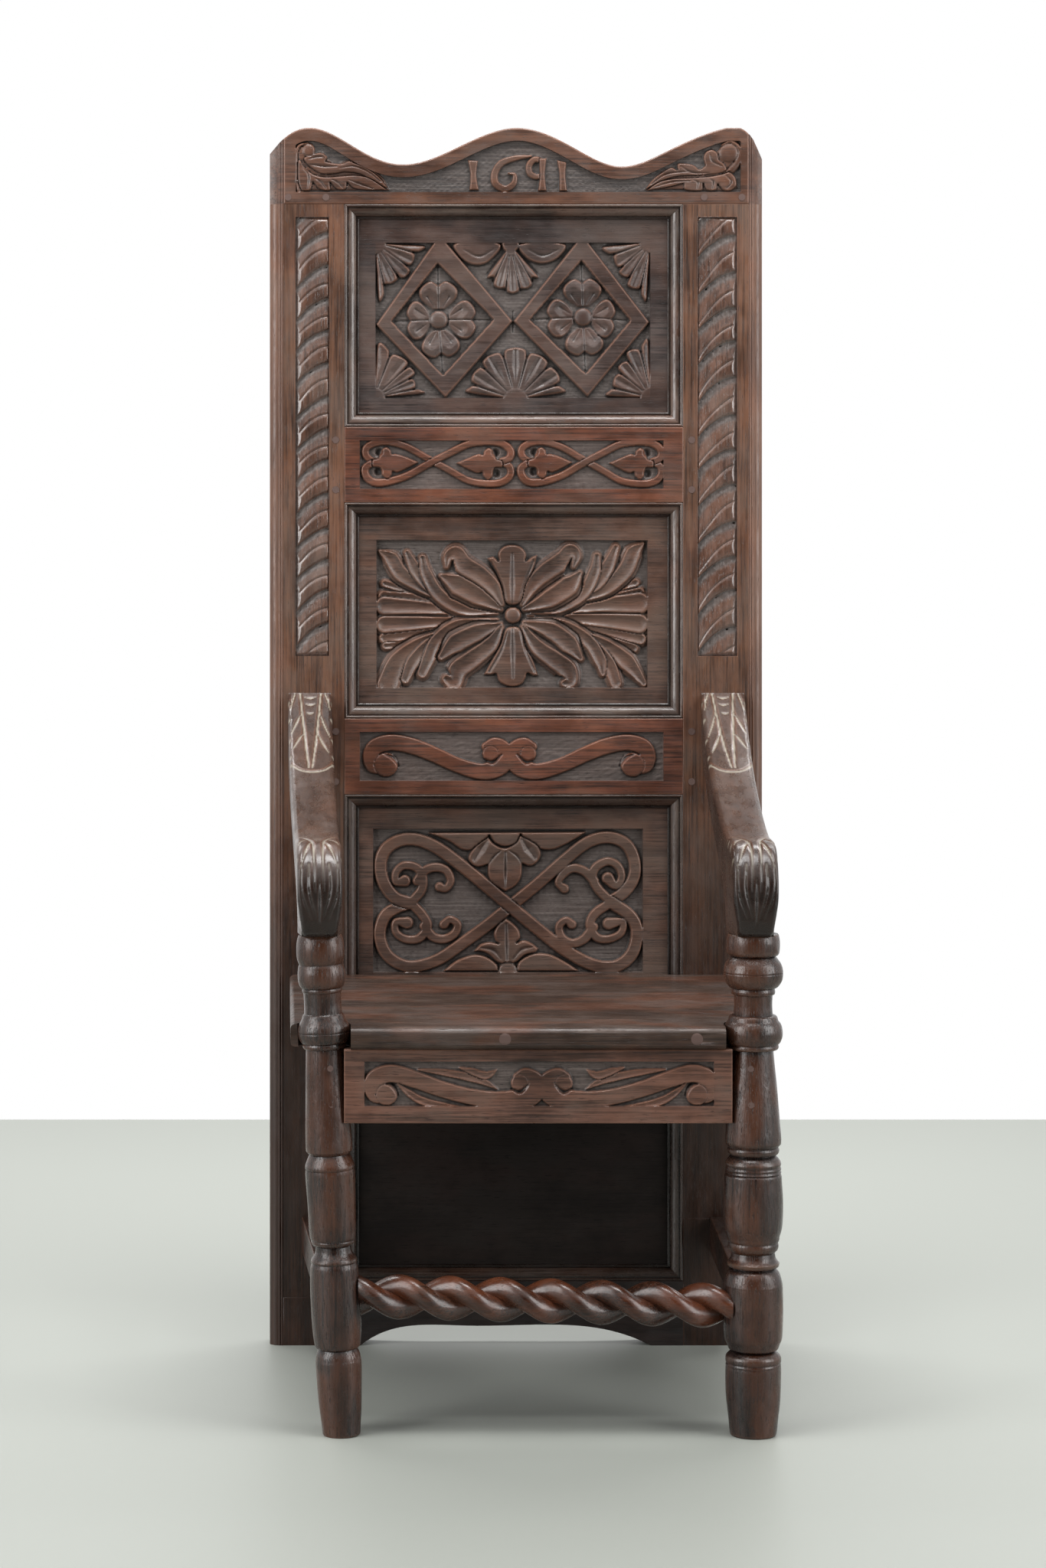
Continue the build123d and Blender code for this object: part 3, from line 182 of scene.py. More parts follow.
@dataclass(frozen=True)
class OakFinish:
    """Quarter-sawn oak, darkened and waxed for centuries, so it is red-brown with a soft, uneven shine.

    Hollows hold old wax and dust and are grey. High spots are rubbed by hands and are paler and smoother.
    Painted shade darkens creases, turned quirks, the mouldings' recesses, the arms' scroll ends and
    undersides, and the parts near the floor; narrow strips on the stiles' edges get a painted highlight.
    """

    name: str
    slot: str
    grain: Grain
    body: str = "57392c"
    dark: str = "33251f"
    warm: str = "6e3f29"
    grey: str = "4d423d"
    hollow: str = "4a4340"
    dust: str = "6b6460"
    # the colour of rubbed high spots, and of the painted highlight on narrow strips
    worn: str = "7e5744"
    # painted shade in creases; on the arms, pale old wax in the cut veins
    dirt: str = "1a1614"
    stain: str = "8a8180"  # this and the next three multiply what they cover
    pore: str = "7f7068"
    # painted shade in quirks, moulding recesses and on the arms' scrolls and undersides
    painted_shade: str = "524a48"
    # painted shade that darkens the lower parts towards the floor
    smoke: str = "5a5250"
    roughness: float = 0.40
    polish: float = 0.0
    warmth: float = 0.6
    greyness: float = 0.5
    pores: float = 0.75
    crease_share: float = 0.85
    shine: float = 0.42
    painted_low_shade: float = 0.0
    bump: float = 0.5

    def scaled(self, across: float, along: float) -> tuple[float, ...]:
        """Mapping scale for a pattern of a real size.

        Args:
            across: its size across the grain, in mm.
            along: its size along the grain, in mm.

        Returns:
            Cells per metre on each axis.
        """
        sizes = [across] * 3
        sizes[self.grain.value] = along
        return tuple(1000.0 / size for size in sizes)

    def patterns(self, tree: Tree, place: Socket) -> dict[str, Socket]:
        """Adds noise at each scale of the wood's figure.

        Args:
            tree: the material's node tree.
            place: places on the piece, in metres.

        Returns:
            The noises by name.
        """
        noise = {}
        for index, (word, (across, along, detail)) in enumerate(FIGURE.items()):
            spot = add_node(tree, "ShaderNodeMapping", {
                "Vector": place, "Scale": self.scaled(across, along),
                "Location": tuple(shift * index for shift in FIGURE_SHIFT),
            })
            noise[word] = add_node(tree, "ShaderNodeTexNoise", {
                "Vector": spot.outputs["Vector"], "Scale": 1.0, "Detail": detail, "Roughness": 0.6,
            }).outputs["Fac"]
        return noise

    def coverage(self, tree: Tree, place: Socket, noise: dict[str, Socket]) -> dict[str, Socket]:
        """Works out how far each tint, each kind of wear and dirt, and each painted shade and highlight
        covers a place.

        Args:
            tree: the material's node tree.
            place: places on the piece, in metres.
            noise: the noises by name.

        Returns:
            The shares by name.
        """
        height = add_node(tree, "ShaderNodeSeparateXYZ", {"Vector": place}).outputs["Z"]
        shares = {}
        for word, source, none, full, most in (("streaks", noise["grain"], 0.30, 0.62, 1.0),
                                               ("pores", noise["pores"], 0.60, 0.70, self.pores),
                                               ("bands", noise["bands"], 0.45, 0.68, 0.45),
                                               ("warmth", noise["patches"], 0.44, 0.60, self.warmth),
                                               ("greyness", noise["stains"], 0.47, 0.62, self.greyness),
                                               ("stains", noise["stains"], 0.55, 0.34, 0.55),
                                               ("dust", noise["grain"], 0.42, 0.66, 0.5),
                                               ("rough", noise["handling"], 0.34, 0.70, 0.20),
                                               ("painted_low_shade", height, LOW_SHADE_START, LOW_SHADE_FULL, self.painted_low_shade),):
            shares[word] = add_node(tree, "ShaderNodeMapRange", {
                "Value": source, "From Min": none, "From Max": full, "To Min": 0.0, "To Max": most,
            }, interpolation_type="SMOOTHSTEP").outputs["Result"]
        for word, most in (("ground", 0.85), ("crease", self.crease_share), ("crown", 0.38), ("painted_shade", 0.85)):
            spread = add_node(tree, "ShaderNodeAttribute", attribute_name=word).outputs["Fac"]
            shares[word] = add_node(tree, "ShaderNodeMath", {0: spread, 1: most},
                                    operation="MULTIPLY").outputs[0]
        return shares

    def colour(self, tree: Tree, shares: dict[str, Socket]) -> Socket:
        """Lays the tints over the dark wood, from the streaks of the grain to the painted shade towards the
        floor.

        Args:
            tree: the material's node tree.
            shares: how far each covers a place.

        Returns:
            The colour.
        """
        dusty = add_node(tree, "ShaderNodeMix", {
            0: shares["dust"], 6: linear(self.hollow), 7: linear(self.dust),
        }, data_type="RGBA").outputs[2]
        mixed = linear(self.dark)
        for blend, share, tint in (
            ("MIX", "streaks", linear(self.body)), ("MIX", "warmth", linear(self.warm)),
            ("MIX", "greyness", linear(self.grey)), ("MIX", "bands", linear(self.dark)),
            ("MULTIPLY", "stains", linear(self.stain)), ("MIX", "ground", dusty),
            ("MULTIPLY", "pores", linear(self.pore)), ("MIX", "crown", linear(self.worn)),
            ("MIX", "crease", linear(self.dirt)), ("MULTIPLY", "painted_shade", linear(self.painted_shade)),
            ("MULTIPLY", "painted_low_shade", linear(self.smoke)),
        ):
            mixed = add_node(tree, "ShaderNodeMix", {0: shares[share], 6: mixed, 7: tint}, data_type="RGBA",
                             blend_type=blend).outputs[2]
        return mixed

    def make(self) -> bpy.types.Material:
        """Builds the material.

        Returns:
            The material, or the one that is there already.
        """
        found = bpy.data.materials.get(self.name)
        if found:
            return found
        material = bpy.data.materials.new(self.name)
        material.use_nodes = True
        tree = material.node_tree
        tree.nodes.clear()
        place = add_node(tree, "ShaderNodeTexCoord").outputs["Object"]
        noise = self.patterns(tree, place)
        shares = self.coverage(tree, place, noise)
        rough = weighted_sum(tree, self.roughness - 0.10, (
            (shares["rough"], 1.0), (shares["ground"], 0.12), (shares["crease"], 0.15),
            (shares["pores"], 0.12), (shares["crown"], -0.10)))
        height = weighted_sum(tree, 0.5, (
            (noise["grain"], 0.30), (noise["handling"], 1.0), (shares["pores"], -0.35)))
        bump = add_node(tree, "ShaderNodeBump", {"Height": height, "Strength": self.bump, "Distance": 0.0007})
        shader = add_node(tree, "ShaderNodeBsdfPrincipled", {
            "Base Color": self.colour(tree, shares), "Roughness": rough, "IOR": 1.45,
            "Specular IOR Level": self.shine, "Normal": bump.outputs["Normal"], "Coat Weight": self.polish,
            "Coat Roughness": 0.16, "Coat IOR": 1.4,
        })
        add_node(tree, "ShaderNodeOutputMaterial", {"Surface": shader.outputs["BSDF"]})
        return material


UPPER_PANEL_OAK = OakFinish("waxed_oak_upper_panel", "oak_panel", Grain.ACROSS, body="453a37", dark="272221",
                            warm="5a4238", warmth=0.4, greyness=0.6)
PANEL_OAK = OakFinish("waxed_oak_panel", "oak_panel", Grain.ACROSS, body="57433a", dark="302723",
                      warm="694a3c", grey="54473f", warmth=0.4, greyness=0.5)
# The base panel under the seat is painted near black as shadow.
BASE_PANEL_OAK = OakFinish("oak_panel_painted_shadow", "oak_panel", Grain.ACROSS, body="1c1714", dark="15110f",
                           warm="211815", grey="1d1917", roughness=0.62, shine=0.15)
CARVED_RAIL_OAK = OakFinish("waxed_oak_rail", "oak_frame", Grain.ACROSS, body="673f31", dark="2f211c",
                            warm="744834", grey="54433a", warmth=0.4, greyness=0.4)
APRON_OAK = OakFinish("waxed_oak_apron", "oak_frame", Grain.ACROSS, body="694b3f", dark="2f221c",
                      warm="724d3e", grey="5c4d45", warmth=0.4, greyness=0.4)
# The rails low in the back are painted dark as shade under the seat.
LOW_RAIL_OAK = OakFinish("oak_rail_painted_shade", "oak_frame", Grain.ACROSS, body="3a2a23", dark="1f1714",
                         warm="46302a", warmth=0.3, roughness=0.5, painted_low_shade=0.8)
CREST_OAK = OakFinish("waxed_oak_crest", "oak_frame", Grain.ACROSS, body="573c30", warm="664535",
                      hollow="3a3736", greyness=0.5)
STILE_OAK = OakFinish("waxed_oak_stile", "oak_frame", Grain.UPRIGHT, body="654838", warm="704a37",
                      grey="564840", warmth=0.35, greyness=0.45, painted_low_shade=0.85)
# The channel's creases get the full painted shade.
CHANNEL_OAK = OakFinish("waxed_oak_channel", "oak_frame", Grain.UPRIGHT, body="5e453a", warm="6b4a3b",
                        grey="5d5049", warmth=0.3, greyness=0.55, roughness=0.27, shine=0.8, crease_share=1.0)
SIDE_OAK = OakFinish("waxed_oak_side", "oak_frame", Grain.DEEP, body="513a2f", warmth=0.3, painted_low_shade=0.5)
MOULDING_OAK = OakFinish("waxed_oak_moulding", "oak_moulding", Grain.ACROSS, body="54473f", warmth=0.2,
                         roughness=0.32, shine=0.45, painted_low_shade=0.6)
# The upright strips are a little paler than the strips across, as a painted highlight.
MOULDING_UPRIGHT_HIGHLIGHT_OAK = OakFinish("waxed_oak_moulding_upright_highlight", "oak_moulding", Grain.UPRIGHT, body="5b4e46",
                                 warmth=0.2, roughness=0.27, shine=0.6, painted_low_shade=0.6)
SEAT_OAK = OakFinish("worn_oak_seat", "oak_seat", Grain.ACROSS, body="43332a", dark="2a201b", worn="7d7068",
                     warmth=0.3, roughness=0.42, shine=0.36, bump=0.8)
LEG_OAK = OakFinish("turned_oak_leg", "oak_turning", Grain.UPRIGHT, body="3b271f", dark="120d0c",
                    warm="52301f", worn="6b5142", grey="261f1c", greyness=0.2, roughness=0.29, shine=0.45,
                    polish=0.1, pores=0.9, bump=1.5)
# Its dark body is painted shade, low under the seat, besides the darkening towards the floor.
STRETCHER_OAK = OakFinish("waxed_oak_stretcher", "oak_turning", Grain.DEEP, body="3a2921", warmth=0.3,
                          painted_low_shade=0.5)
TWIST_OAK = OakFinish("polished_oak_twist", "oak_twist", Grain.ACROSS, body="4a2d20", dark="1e130e",
                      warm="673924", grey="33261e", greyness=0.25, roughness=0.30, polish=0.25)
ARM_OAK = OakFinish("handled_oak_arm", "oak_arm", Grain.DEEP, body="48352b", warm="583c2f", dirt="8d8476",
                    warmth=0.35, pores=0.25, roughness=0.33, polish=0.1, crease_share=0.9)
PEG_OAK = OakFinish("oak_peg", "oak_peg", Grain.DEEP, body="281d18", dark="18110e", roughness=0.5, shine=0.3)


# ---- lines and heights ----
def smooth_line(points: Sequence[Point], closed: bool = False, step: float = 1.5) -> tuple[Array, Array]:
    """Runs a smooth line through points. A point with a third number is a corner.

    Args:
        points: places on the line.
        closed: whether the line returns to its start.
        step: spacing of the samples, in mm.

    Returns:
        The samples, and for each the number of the point that it lies at, as a fraction.
    """
    pts = [np.array(p[:2], float) for p in points]
    corner = [len(p) > 2 for p in points]
    count = len(pts)
    out, marks = [], []
    for i in range(count if closed else count - 1):
        a, b = pts[i], pts[(i + 1) % count]
        before = a if corner[i] or (i == 0 and not closed) else pts[i - 1]
        last = (i + 1) % count
        after = b if corner[last] or (i == count - 2 and not closed) else pts[(i + 2) % count]
        m0 = (b - before) * (0.5 if before is not a else 1.0)
        m1 = (after - a) * (0.5 if after is not b else 1.0)
        n = max(2, int(np.hypot(*(b - a)) / step) + 1)
        for t in np.arange(n) / n:
            out.append((2 * t**3 - 3 * t**2 + 1) * a + (t**3 - 2 * t**2 + t) * m0
                       + (3 * t**2 - 2 * t**3) * b + (t**3 - t**2) * m1)
            marks.append(i + t)
    out.append(pts[0] if closed else pts[-1])
    marks.append(float(count if closed else count - 1))
    return np.array(out), np.array(marks)


def nearest(x: Array, z: Array, line: Array, marks: Array) -> tuple[Array, Array]:
    """Distance of places from a line.

    Args:
        x, z: the places.
        line: samples of the line.
        marks: a number for each sample.

    Returns:
        The distances, and the mark at each nearest spot.
    """
    best = np.full(x.shape, 1e9)
    mark = np.zeros(x.shape)
    for k in range(len(line) - 1):
        a, d = line[k], line[k + 1] - line[k]
        length = max(float(d @ d), 1e-9)
        t = np.clip(((x - a[0]) * d[0] + (z - a[1]) * d[1]) / length, 0, 1)
        gap = (x - a[0] - t * d[0])**2 + (z - a[1] - t * d[1])**2
        closer = gap < best
        best = np.where(closer, gap, best)
        mark = np.where(closer, marks[k] + t * (marks[k + 1] - marks[k]), mark)
    return np.sqrt(best), mark


def inside(x: Array, z: Array, line: Array) -> Array:
    """Whether places lie inside a closed line.

    Args:
        x, z: the places.
        line: samples of the line, the last like the first.

    Returns:
        True for each place inside.
    """
    odd = np.zeros(x.shape, bool)
    for a, b in zip(line[:-1], line[1:]):
        if a[1] == b[1]:
            continue
        crosses = (a[1] > z) != (b[1] > z)
        odd ^= crosses & (x < a[0] + (z - a[1]) * (b[0] - a[0]) / (b[1] - a[1]))
    return odd


def ease(value: Array) -> Array:
    """A smooth step from 0 to 1."""
    t = np.clip(value, 0, 1)
    return t * t * (3 - 2 * t)


def blurred(grid: Array, reach: int) -> Array:
    """A grid averaged over a square of cells.

    Args:
        grid: the values.
        reach: how many cells the square reaches on each side.

    Returns:
        The averages.
    """
    for axis in (0, 1):
        padded = np.pad(grid, [(reach + 1, reach) if a == axis else (0, 0) for a in (0, 1)], mode="edge")
        total = np.cumsum(padded, axis=axis)
        width = 2 * reach + 1
        high = np.take(total, range(width, total.shape[axis]), axis=axis)
        low = np.take(total, range(0, total.shape[axis] - width), axis=axis)
        grid = (high - low) / width
    return grid


def ripple(x: Array, z: Array, size: float, seed: int) -> Array:
    """Uneven waves, like the marks of a hand-held gouge.

    Args:
        x, z: places.
        size: size of a wave, in mm.
        seed: picks the waves.

    Returns:
        Values of about -1 to 1.
    """
    draws = np.random.RandomState(seed)
    turn = 6.283
    waves = 7
    total = np.zeros(x.shape)
    for _ in range(waves):
        angle, phase, scale = draws.uniform(0, turn), draws.uniform(0, turn), draws.uniform(0.6, 1.6)
        total += np.sin((x * math.cos(angle) + z * math.sin(angle)) * turn / (size * scale) + phase)
    return total * 2 / waves


class Relief:
    """Heights of a carved surface on a grid of places, from the board's face down to the sunk ground."""

    def __init__(self, x: Array, z: Array, depth: float) -> None:
        """Starts with a level ground.

        Args:
            x, z: places of the grid.
            depth: depth of the ground, in mm.
        """
        self.x, self.z, self.depth = x, z, depth
        self.height = np.full(x.shape, -depth)

    def window(self, line: Array, reach: float) -> tuple[Array, ...]:
        """Indices of the grid places within a reach of a line's box."""
        low, high = line.min(0) - reach, line.max(0) + reach
        return np.nonzero((self.x > low[0]) & (self.x < high[0]) & (self.z > low[1]) & (self.z < high[1]))

    def stroke(self, points: Sequence[Point], widths: Sequence[float], cut: Cut = Cut.FLAT,
               top: float = RAISED, low: float | None = None, wall: float = 1.3, dip: float = 0.45) -> None:
        """Raises a band along a smooth line.

        Args:
            points: the band's middle line.
            widths: its widths, spread evenly along the points.
            cut: its section.
            top: height of its top.
            low: height that its walls start from, the ground's if left out.
            wall: width of its walls.
            dip: how much of its height a hollow section loses.
        """
        line, marks = smooth_line(points)
        spot = self.window(line, max(widths) / 2 + 1)
        gap, mark = nearest(self.x[spot], self.z[spot], line, marks)
        half = np.interp(mark, np.linspace(0, len(points) - 1, len(widths)), widths) / 2
        share = np.clip(gap / np.maximum(half, 0.01), 0, 1)
        shape = {
            Cut.FLAT: lambda t: 1 - 0.05 * t**4,
            Cut.DOME: lambda t: np.sqrt(np.maximum(1 - 0.85 * t * t, 0)),
            Cut.FLUTE: lambda t: 1 - dip * np.maximum(1 - (t / 0.72)**2, 0) - 0.25 * ease((t - 0.8) / 0.2),
        }[cut](share)
        base = -self.depth if low is None else low
        raised = base + (top - base) * shape * ease((half - gap) / wall)
        self.height[spot] = np.where(gap < half, raised, self.height[spot])

    def shape(self, points: Sequence[Point], top: float = RAISED, wall: float = 1.3,
              swell: float = 0.0) -> None:
        """Raises a closed outline from the ground.

        Args:
            points: the outline.
            top: height of its edge.
            wall: width of its walls.
            swell: how much higher its middle is.
        """
        line, marks = smooth_line(points, closed=True)
        spot = self.window(line, 1)
        x, z = self.x[spot], self.z[spot]
        within = inside(x, z, line)
        gap, _ = nearest(x, z, line, marks)
        raised = -self.depth + (top + self.depth) * ease(gap / wall) + swell * (1 - np.exp(-gap / 4.0))
        self.height[spot] = np.where(within, raised, self.height[spot])

    def sink(self, points: Sequence[Point]) -> None:
        """Cuts a closed outline down to the ground."""
        line, _ = smooth_line(points, closed=True)
        self.height = np.where(inside(self.x, self.z, line), -self.depth, self.height)

    def groove(self, points: Sequence[Point], widths: Sequence[float], depth: float) -> None:
        """Cuts a V-shaped line into what is there.

        Args:
            points: the line.
            widths: its widths, spread evenly along the points.
            depth: its depth at its widest.
        """
        line, marks = smooth_line(points)
        spot = self.window(line, max(widths) / 2 + 1)
        gap, mark = nearest(self.x[spot], self.z[spot], line, marks)
        width = np.interp(mark, np.linspace(0, len(points) - 1, len(widths)), widths)
        share = np.clip(1 - 2 * gap / np.maximum(width, 0.01), 0, 1)
        self.height[spot] -= depth * share * width / max(widths)

    def boss(self, centre: Point, radius: float, low: float, top: float = 0.0, flat: float = 0.0) -> None:
        """Raises a round boss.

        Args:
            centre: its middle.
            radius: its radius.
            low: height of its foot.
            top: its height.
            flat: share of its radius that is flat.
        """
        gap = np.hypot(self.x - centre[0], self.z - centre[1])
        share = np.clip((gap / radius - flat) / (1 - flat), 0, 1)
        raised = low + (top - low) * np.sqrt(1 - share**2)
        self.height = np.where(gap < radius, raised, self.height)

    def dish(self, centre: Point, radius: float, depth: float) -> None:
        """Cuts a round hollow into what is there."""
        gap = np.hypot(self.x - centre[0], self.z - centre[1])
        self.height -= depth * np.maximum(1 - (gap / radius)**2, 0)

    def grow(self, strokes: Sequence[Stroke], top: float = RAISED) -> None:
        """Cuts strokes that grow out of one another, and out of what is there, with no seams between them.

        Args:
            strokes: each stroke's middle line and widths.
            top: height of the strokes.
        """
        start = self.height.copy()
        highest = start
        for points, widths in strokes:
            self.height[:] = start
            self.stroke(points, widths, top=top)
            highest = np.maximum(highest, self.height)
        self.height[:] = highest

    def settle(self, seed: int, flush: bool = True) -> tuple[Array, Array, Array, Array]:
        """Softens the carving as wear does and works out the creases that get painted shade and the high
        spots that hands have rubbed.

        Args:
            seed: picks the tool marks on the ground.
            flush: whether the grid's edge meets the board's face.

        Returns:
            The heights, and the ground, crease shade and crown shares.
        """
        # The ground keeps the gouge's marks, and the rest is only a little uneven.
        low = ease((-self.depth + 1.4 - self.height) / 1.0)
        height = self.height + low * (0.22 * ripple(self.x, self.z, 7.0, seed)
                                      + 0.12 * ripple(self.x, self.z * 2.2, 3.5, seed + 1))
        height += (1 - low) * 0.10 * ripple(self.x, self.z, 16.0, seed + 2)
        height = 0.55 * height + 0.45 * blurred(height, 1)
        around = blurred(height, 3)
        # Places sunk below their surroundings get painted shade in their creases.
        crease = ease((around - height - 0.15) / 1.1)
        crown = np.maximum(ease((height - around - 0.2) / 1.1), 0.12 * (1 - low))
        for grid in (low, crease, crown, height) if flush else (low, crease, crown):
            grid[[0, -1], :] = 0
            grid[:, [0, -1]] = 0
        return height, low, crease, crown


# ---- mesh helpers ----
def finish_piece(bm: Mesh, name: str, finish: OakFinish, nodes: Iterable[str] = (), angle: float = 34.0,
                 even: bool = True) -> None:
    """Turns a bmesh in mm into a finished piece of the chair.

    Args:
        bm: the mesh, which is freed.
        name: the piece's name.
        finish: its oak finish.
        nodes: the CAD nodes that it stands for.
        angle: edges sharper than this stay sharp.
        even: whether flat faces keep level shading beside rounded edges.
    """
    bmesh.ops.remove_doubles(bm, verts=bm.verts, dist=WELD)
    bmesh.ops.recalc_face_normals(bm, faces=bm.faces)
    bmesh.ops.scale(bm, vec=(MM, MM, MM), verts=bm.verts)
    mesh = bpy.data.meshes.new(name)
    bm.to_mesh(mesh)
    bm.free()
    mesh.shade_smooth()
    mesh.set_sharp_from_angle(angle=math.radians(angle))
    piece = bpy.data.objects.new(name, mesh)
    bpy.context.scene.collection.objects.link(piece)
    piece.data.materials.append(finish.make())
    if even:
        normals = piece.modifiers.new("even_shading", "WEIGHTED_NORMAL")
        normals.keep_sharp = True
    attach(piece, BODY)
    if nodes:
        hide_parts(*nodes)
    LOG.info("%s: %d faces", name, len(mesh.polygons))


def dress_node(node: str, finish: OakFinish) -> None:
    """Gives a CAD node a finish, keeping its shape.

    Args:
        node: the node.
        finish: its oak finish.
    """
    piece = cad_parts[node]
    piece.data.materials.clear()
    piece.data.materials.append(finish.make())
    LOG.info("%s: dressed as packed", node)


def moved(geometry: dict) -> list[bmesh.types.BMVert]:
    """The vertices in an operator's result."""
    return [item for item in geometry["geom"] if isinstance(item, bmesh.types.BMVert)]


def worn_node(node: str, finish: OakFinish, size: float = 1.0, reed: float = 0.0) -> None:
    """Makes a copy of a CAD node whose long arrises are rubbed round and pale.

    Args:
        node: the node.
        finish: its oak finish.
        size: how far the rounding reaches, in mm.
        reed: long strips narrower than this get a painted highlight, in mm.
    """
    shortest, bluntest = 30.0, math.radians(50)  # of the arrises that are rubbed
    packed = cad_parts[node]
    bm = bmesh.new()
    bm.from_mesh(packed.data)
    bmesh.ops.transform(bm, matrix=Matrix.Scale(1 / MM, 4) @ packed.matrix_world, verts=bm.verts)
    bmesh.ops.remove_doubles(bm, verts=bm.verts, dist=0.02)
    bmesh.ops.dissolve_limit(bm, angle_limit=math.radians(0.5), verts=bm.verts, edges=bm.edges)
    edges = [e for e in bm.edges if e.is_manifold and e.is_convex and e.calc_length() > shortest
             and e.calc_face_angle(0) > bluntest]
    rubbed = bmesh.ops.bevel(bm, geom=edges, offset=size, segments=2, profile=0.5, affect="EDGES",
                             clamp_overlap=True, material=-1)
    crown = bm.loops.layers.float.new("crown")
    # Narrow strips, such as the beads of the edge moulding, get a painted highlight.
    runs = [f for f in bm.faces if f.calc_area() < reed * max(e.calc_length() for e in f.edges)]
    for faces, share in ((runs, STRIP_HIGHLIGHT), (rubbed["faces"], RUBBED)):
        for loop in (loop for face in faces for loop in face.loops):
            loop[crown] = share
    finish_piece(bm, f"{node}_worn", finish, [node], angle=32)


@dataclass(frozen=True)
class Oblong:
    """A rectangle on the back's face."""

    left: float
    right: float
    bottom: float
    top: float

    def at(self, u: Array, v: Array, inset: float = 0.0) -> tuple[Array, Array]:
        """Places for shares across and up.

        Args:
            u, v: the shares, from 0 to 1.
            inset: how far the edges are moved in.

        Returns:
            The places' X and Z.
        """
        x = self.left + inset + u * (self.right - self.left - 2 * inset)
        z = self.bottom + inset + v * (self.top - self.bottom - 2 * inset)
        return x, z

    def cells(self, size: float) -> tuple[int, int]:
        """How many cells of a size it takes."""
        return round((self.right - self.left) / size), round((self.top - self.bottom) / size)


def carved_board(field: "Oblong | CrestPlan", board: "Oblong | CrestPlan", front: float, back: float,
                 depth: float, cell: float, carve: Callable[[Relief], None], seed: int, edge: float = 0.8,
                 flush: bool = True) -> Mesh:
    """A board with a dense carved field, a plain border, rounded edges and a flat back.

    Args:
        field: the carved field.
        board: the board's outline.
        front, back: Y of its face and back.
        depth: depth of the field's ground.
        cell: size of the field's cells.
        carve: does the carving.
        seed: picks the tool marks.
        edge: how far its front edges are rounded.
        flush: whether the field's edge meets the face.

    Returns:
        The mesh.
    """
    across, up = field.cells(cell)
    bm = bmesh.new()
    place = bm.verts.layers.float_vector.new("place")
    layers = [bm.verts.layers.float.new(word) for word in ("ground", "crease", "crown")]
    bmesh.ops.create_grid(bm, x_segments=across, y_segments=up, size=0.5)
    u, v = np.meshgrid(np.linspace(0, 1, across + 1), np.linspace(0, 1, up + 1))
    x, z = field.at(u, v)
    relief = Relief(x, z, depth)
    carve(relief)
    height, *shares = relief.settle(seed, flush)
    for vert in bm.verts:
        i, j = round((vert.co.x + 0.5) * across), round((vert.co.y + 0.5) * up)
        vert[place] = (i / across, j / up, 0)
        for layer, share in zip(layers, shares):
            vert[layer] = share[j, i]
        vert.co = (x[j, i], front - height[j, i], z[j, i])
    # Rings of vertices from the field out to the edge and back: plan, inset, depth behind the face, and wear.
    level = edge + LEVEL_STRIP
    rings = [(board, edge, 0.0, RUBBED), (board, edge * 0.3, edge * 0.3, RUBBED), (board, 0.0, edge, RUBBED),
             (board, 0.0, level, 0.0), (board, 0.0, back - front, 0.0)]
    if flush:
        rings = [(field, -FIELD_RIM, 0.0, 0.0), (board, level, 0.0, 0.0), *rings]
    for plan, inset, sunk, rubbed in rings:
        rim = [e for e in bm.edges if e.is_boundary]
        for vert in moved(bmesh.ops.extrude_edge_only(bm, edges=rim)):
            share_x, share_z, _ = vert[place]
            px, pz = plan.at(share_x, share_z, inset)
            vert.co = (px, front + sunk, pz)
            vert[layers[2]] = rubbed
    bmesh.ops.holes_fill(bm, edges=[e for e in bm.edges if e.is_boundary], sides=0)
    bm.verts.layers.float_vector.remove(bm.verts.layers.float_vector["place"])
    return bm


# ---- the crest rail ----
@dataclass(frozen=True)
class EdgeMoulding:
    """The ovolo and two beads run up the outer edge of the back."""

    ovolo_width: float = 10.0
    ovolo_depth: float = 9.0
    bead: float = 3.0  # width
    quirk: float = 1.2

    @property
    def run(self) -> float:
        """How far it reaches in from the edge."""
        return self.ovolo_width + 2 * self.bead

    def section(self) -> list[Point]:
        """Its outline.

        Returns:
            Distances in from the edge and back from the face.
        """
        drop = self.ovolo_depth - self.quirk
        turns = np.linspace(0, math.pi / 2, 9)
        points = [(self.ovolo_width * math.sin(a), self.quirk + drop * (1 - math.sin(a)) ** 1.15 * 0.62
                   + drop * 0.38 * math.cos(a)) for a in turns]
        for start in (self.ovolo_width, self.ovolo_width + self.bead):
            points += [(start + self.bead * (1 - math.cos(a)) / 2, self.quirk * (1 - math.sin(a)))
                       for a in np.linspace(0, math.pi, 7)[1:]]
        return points


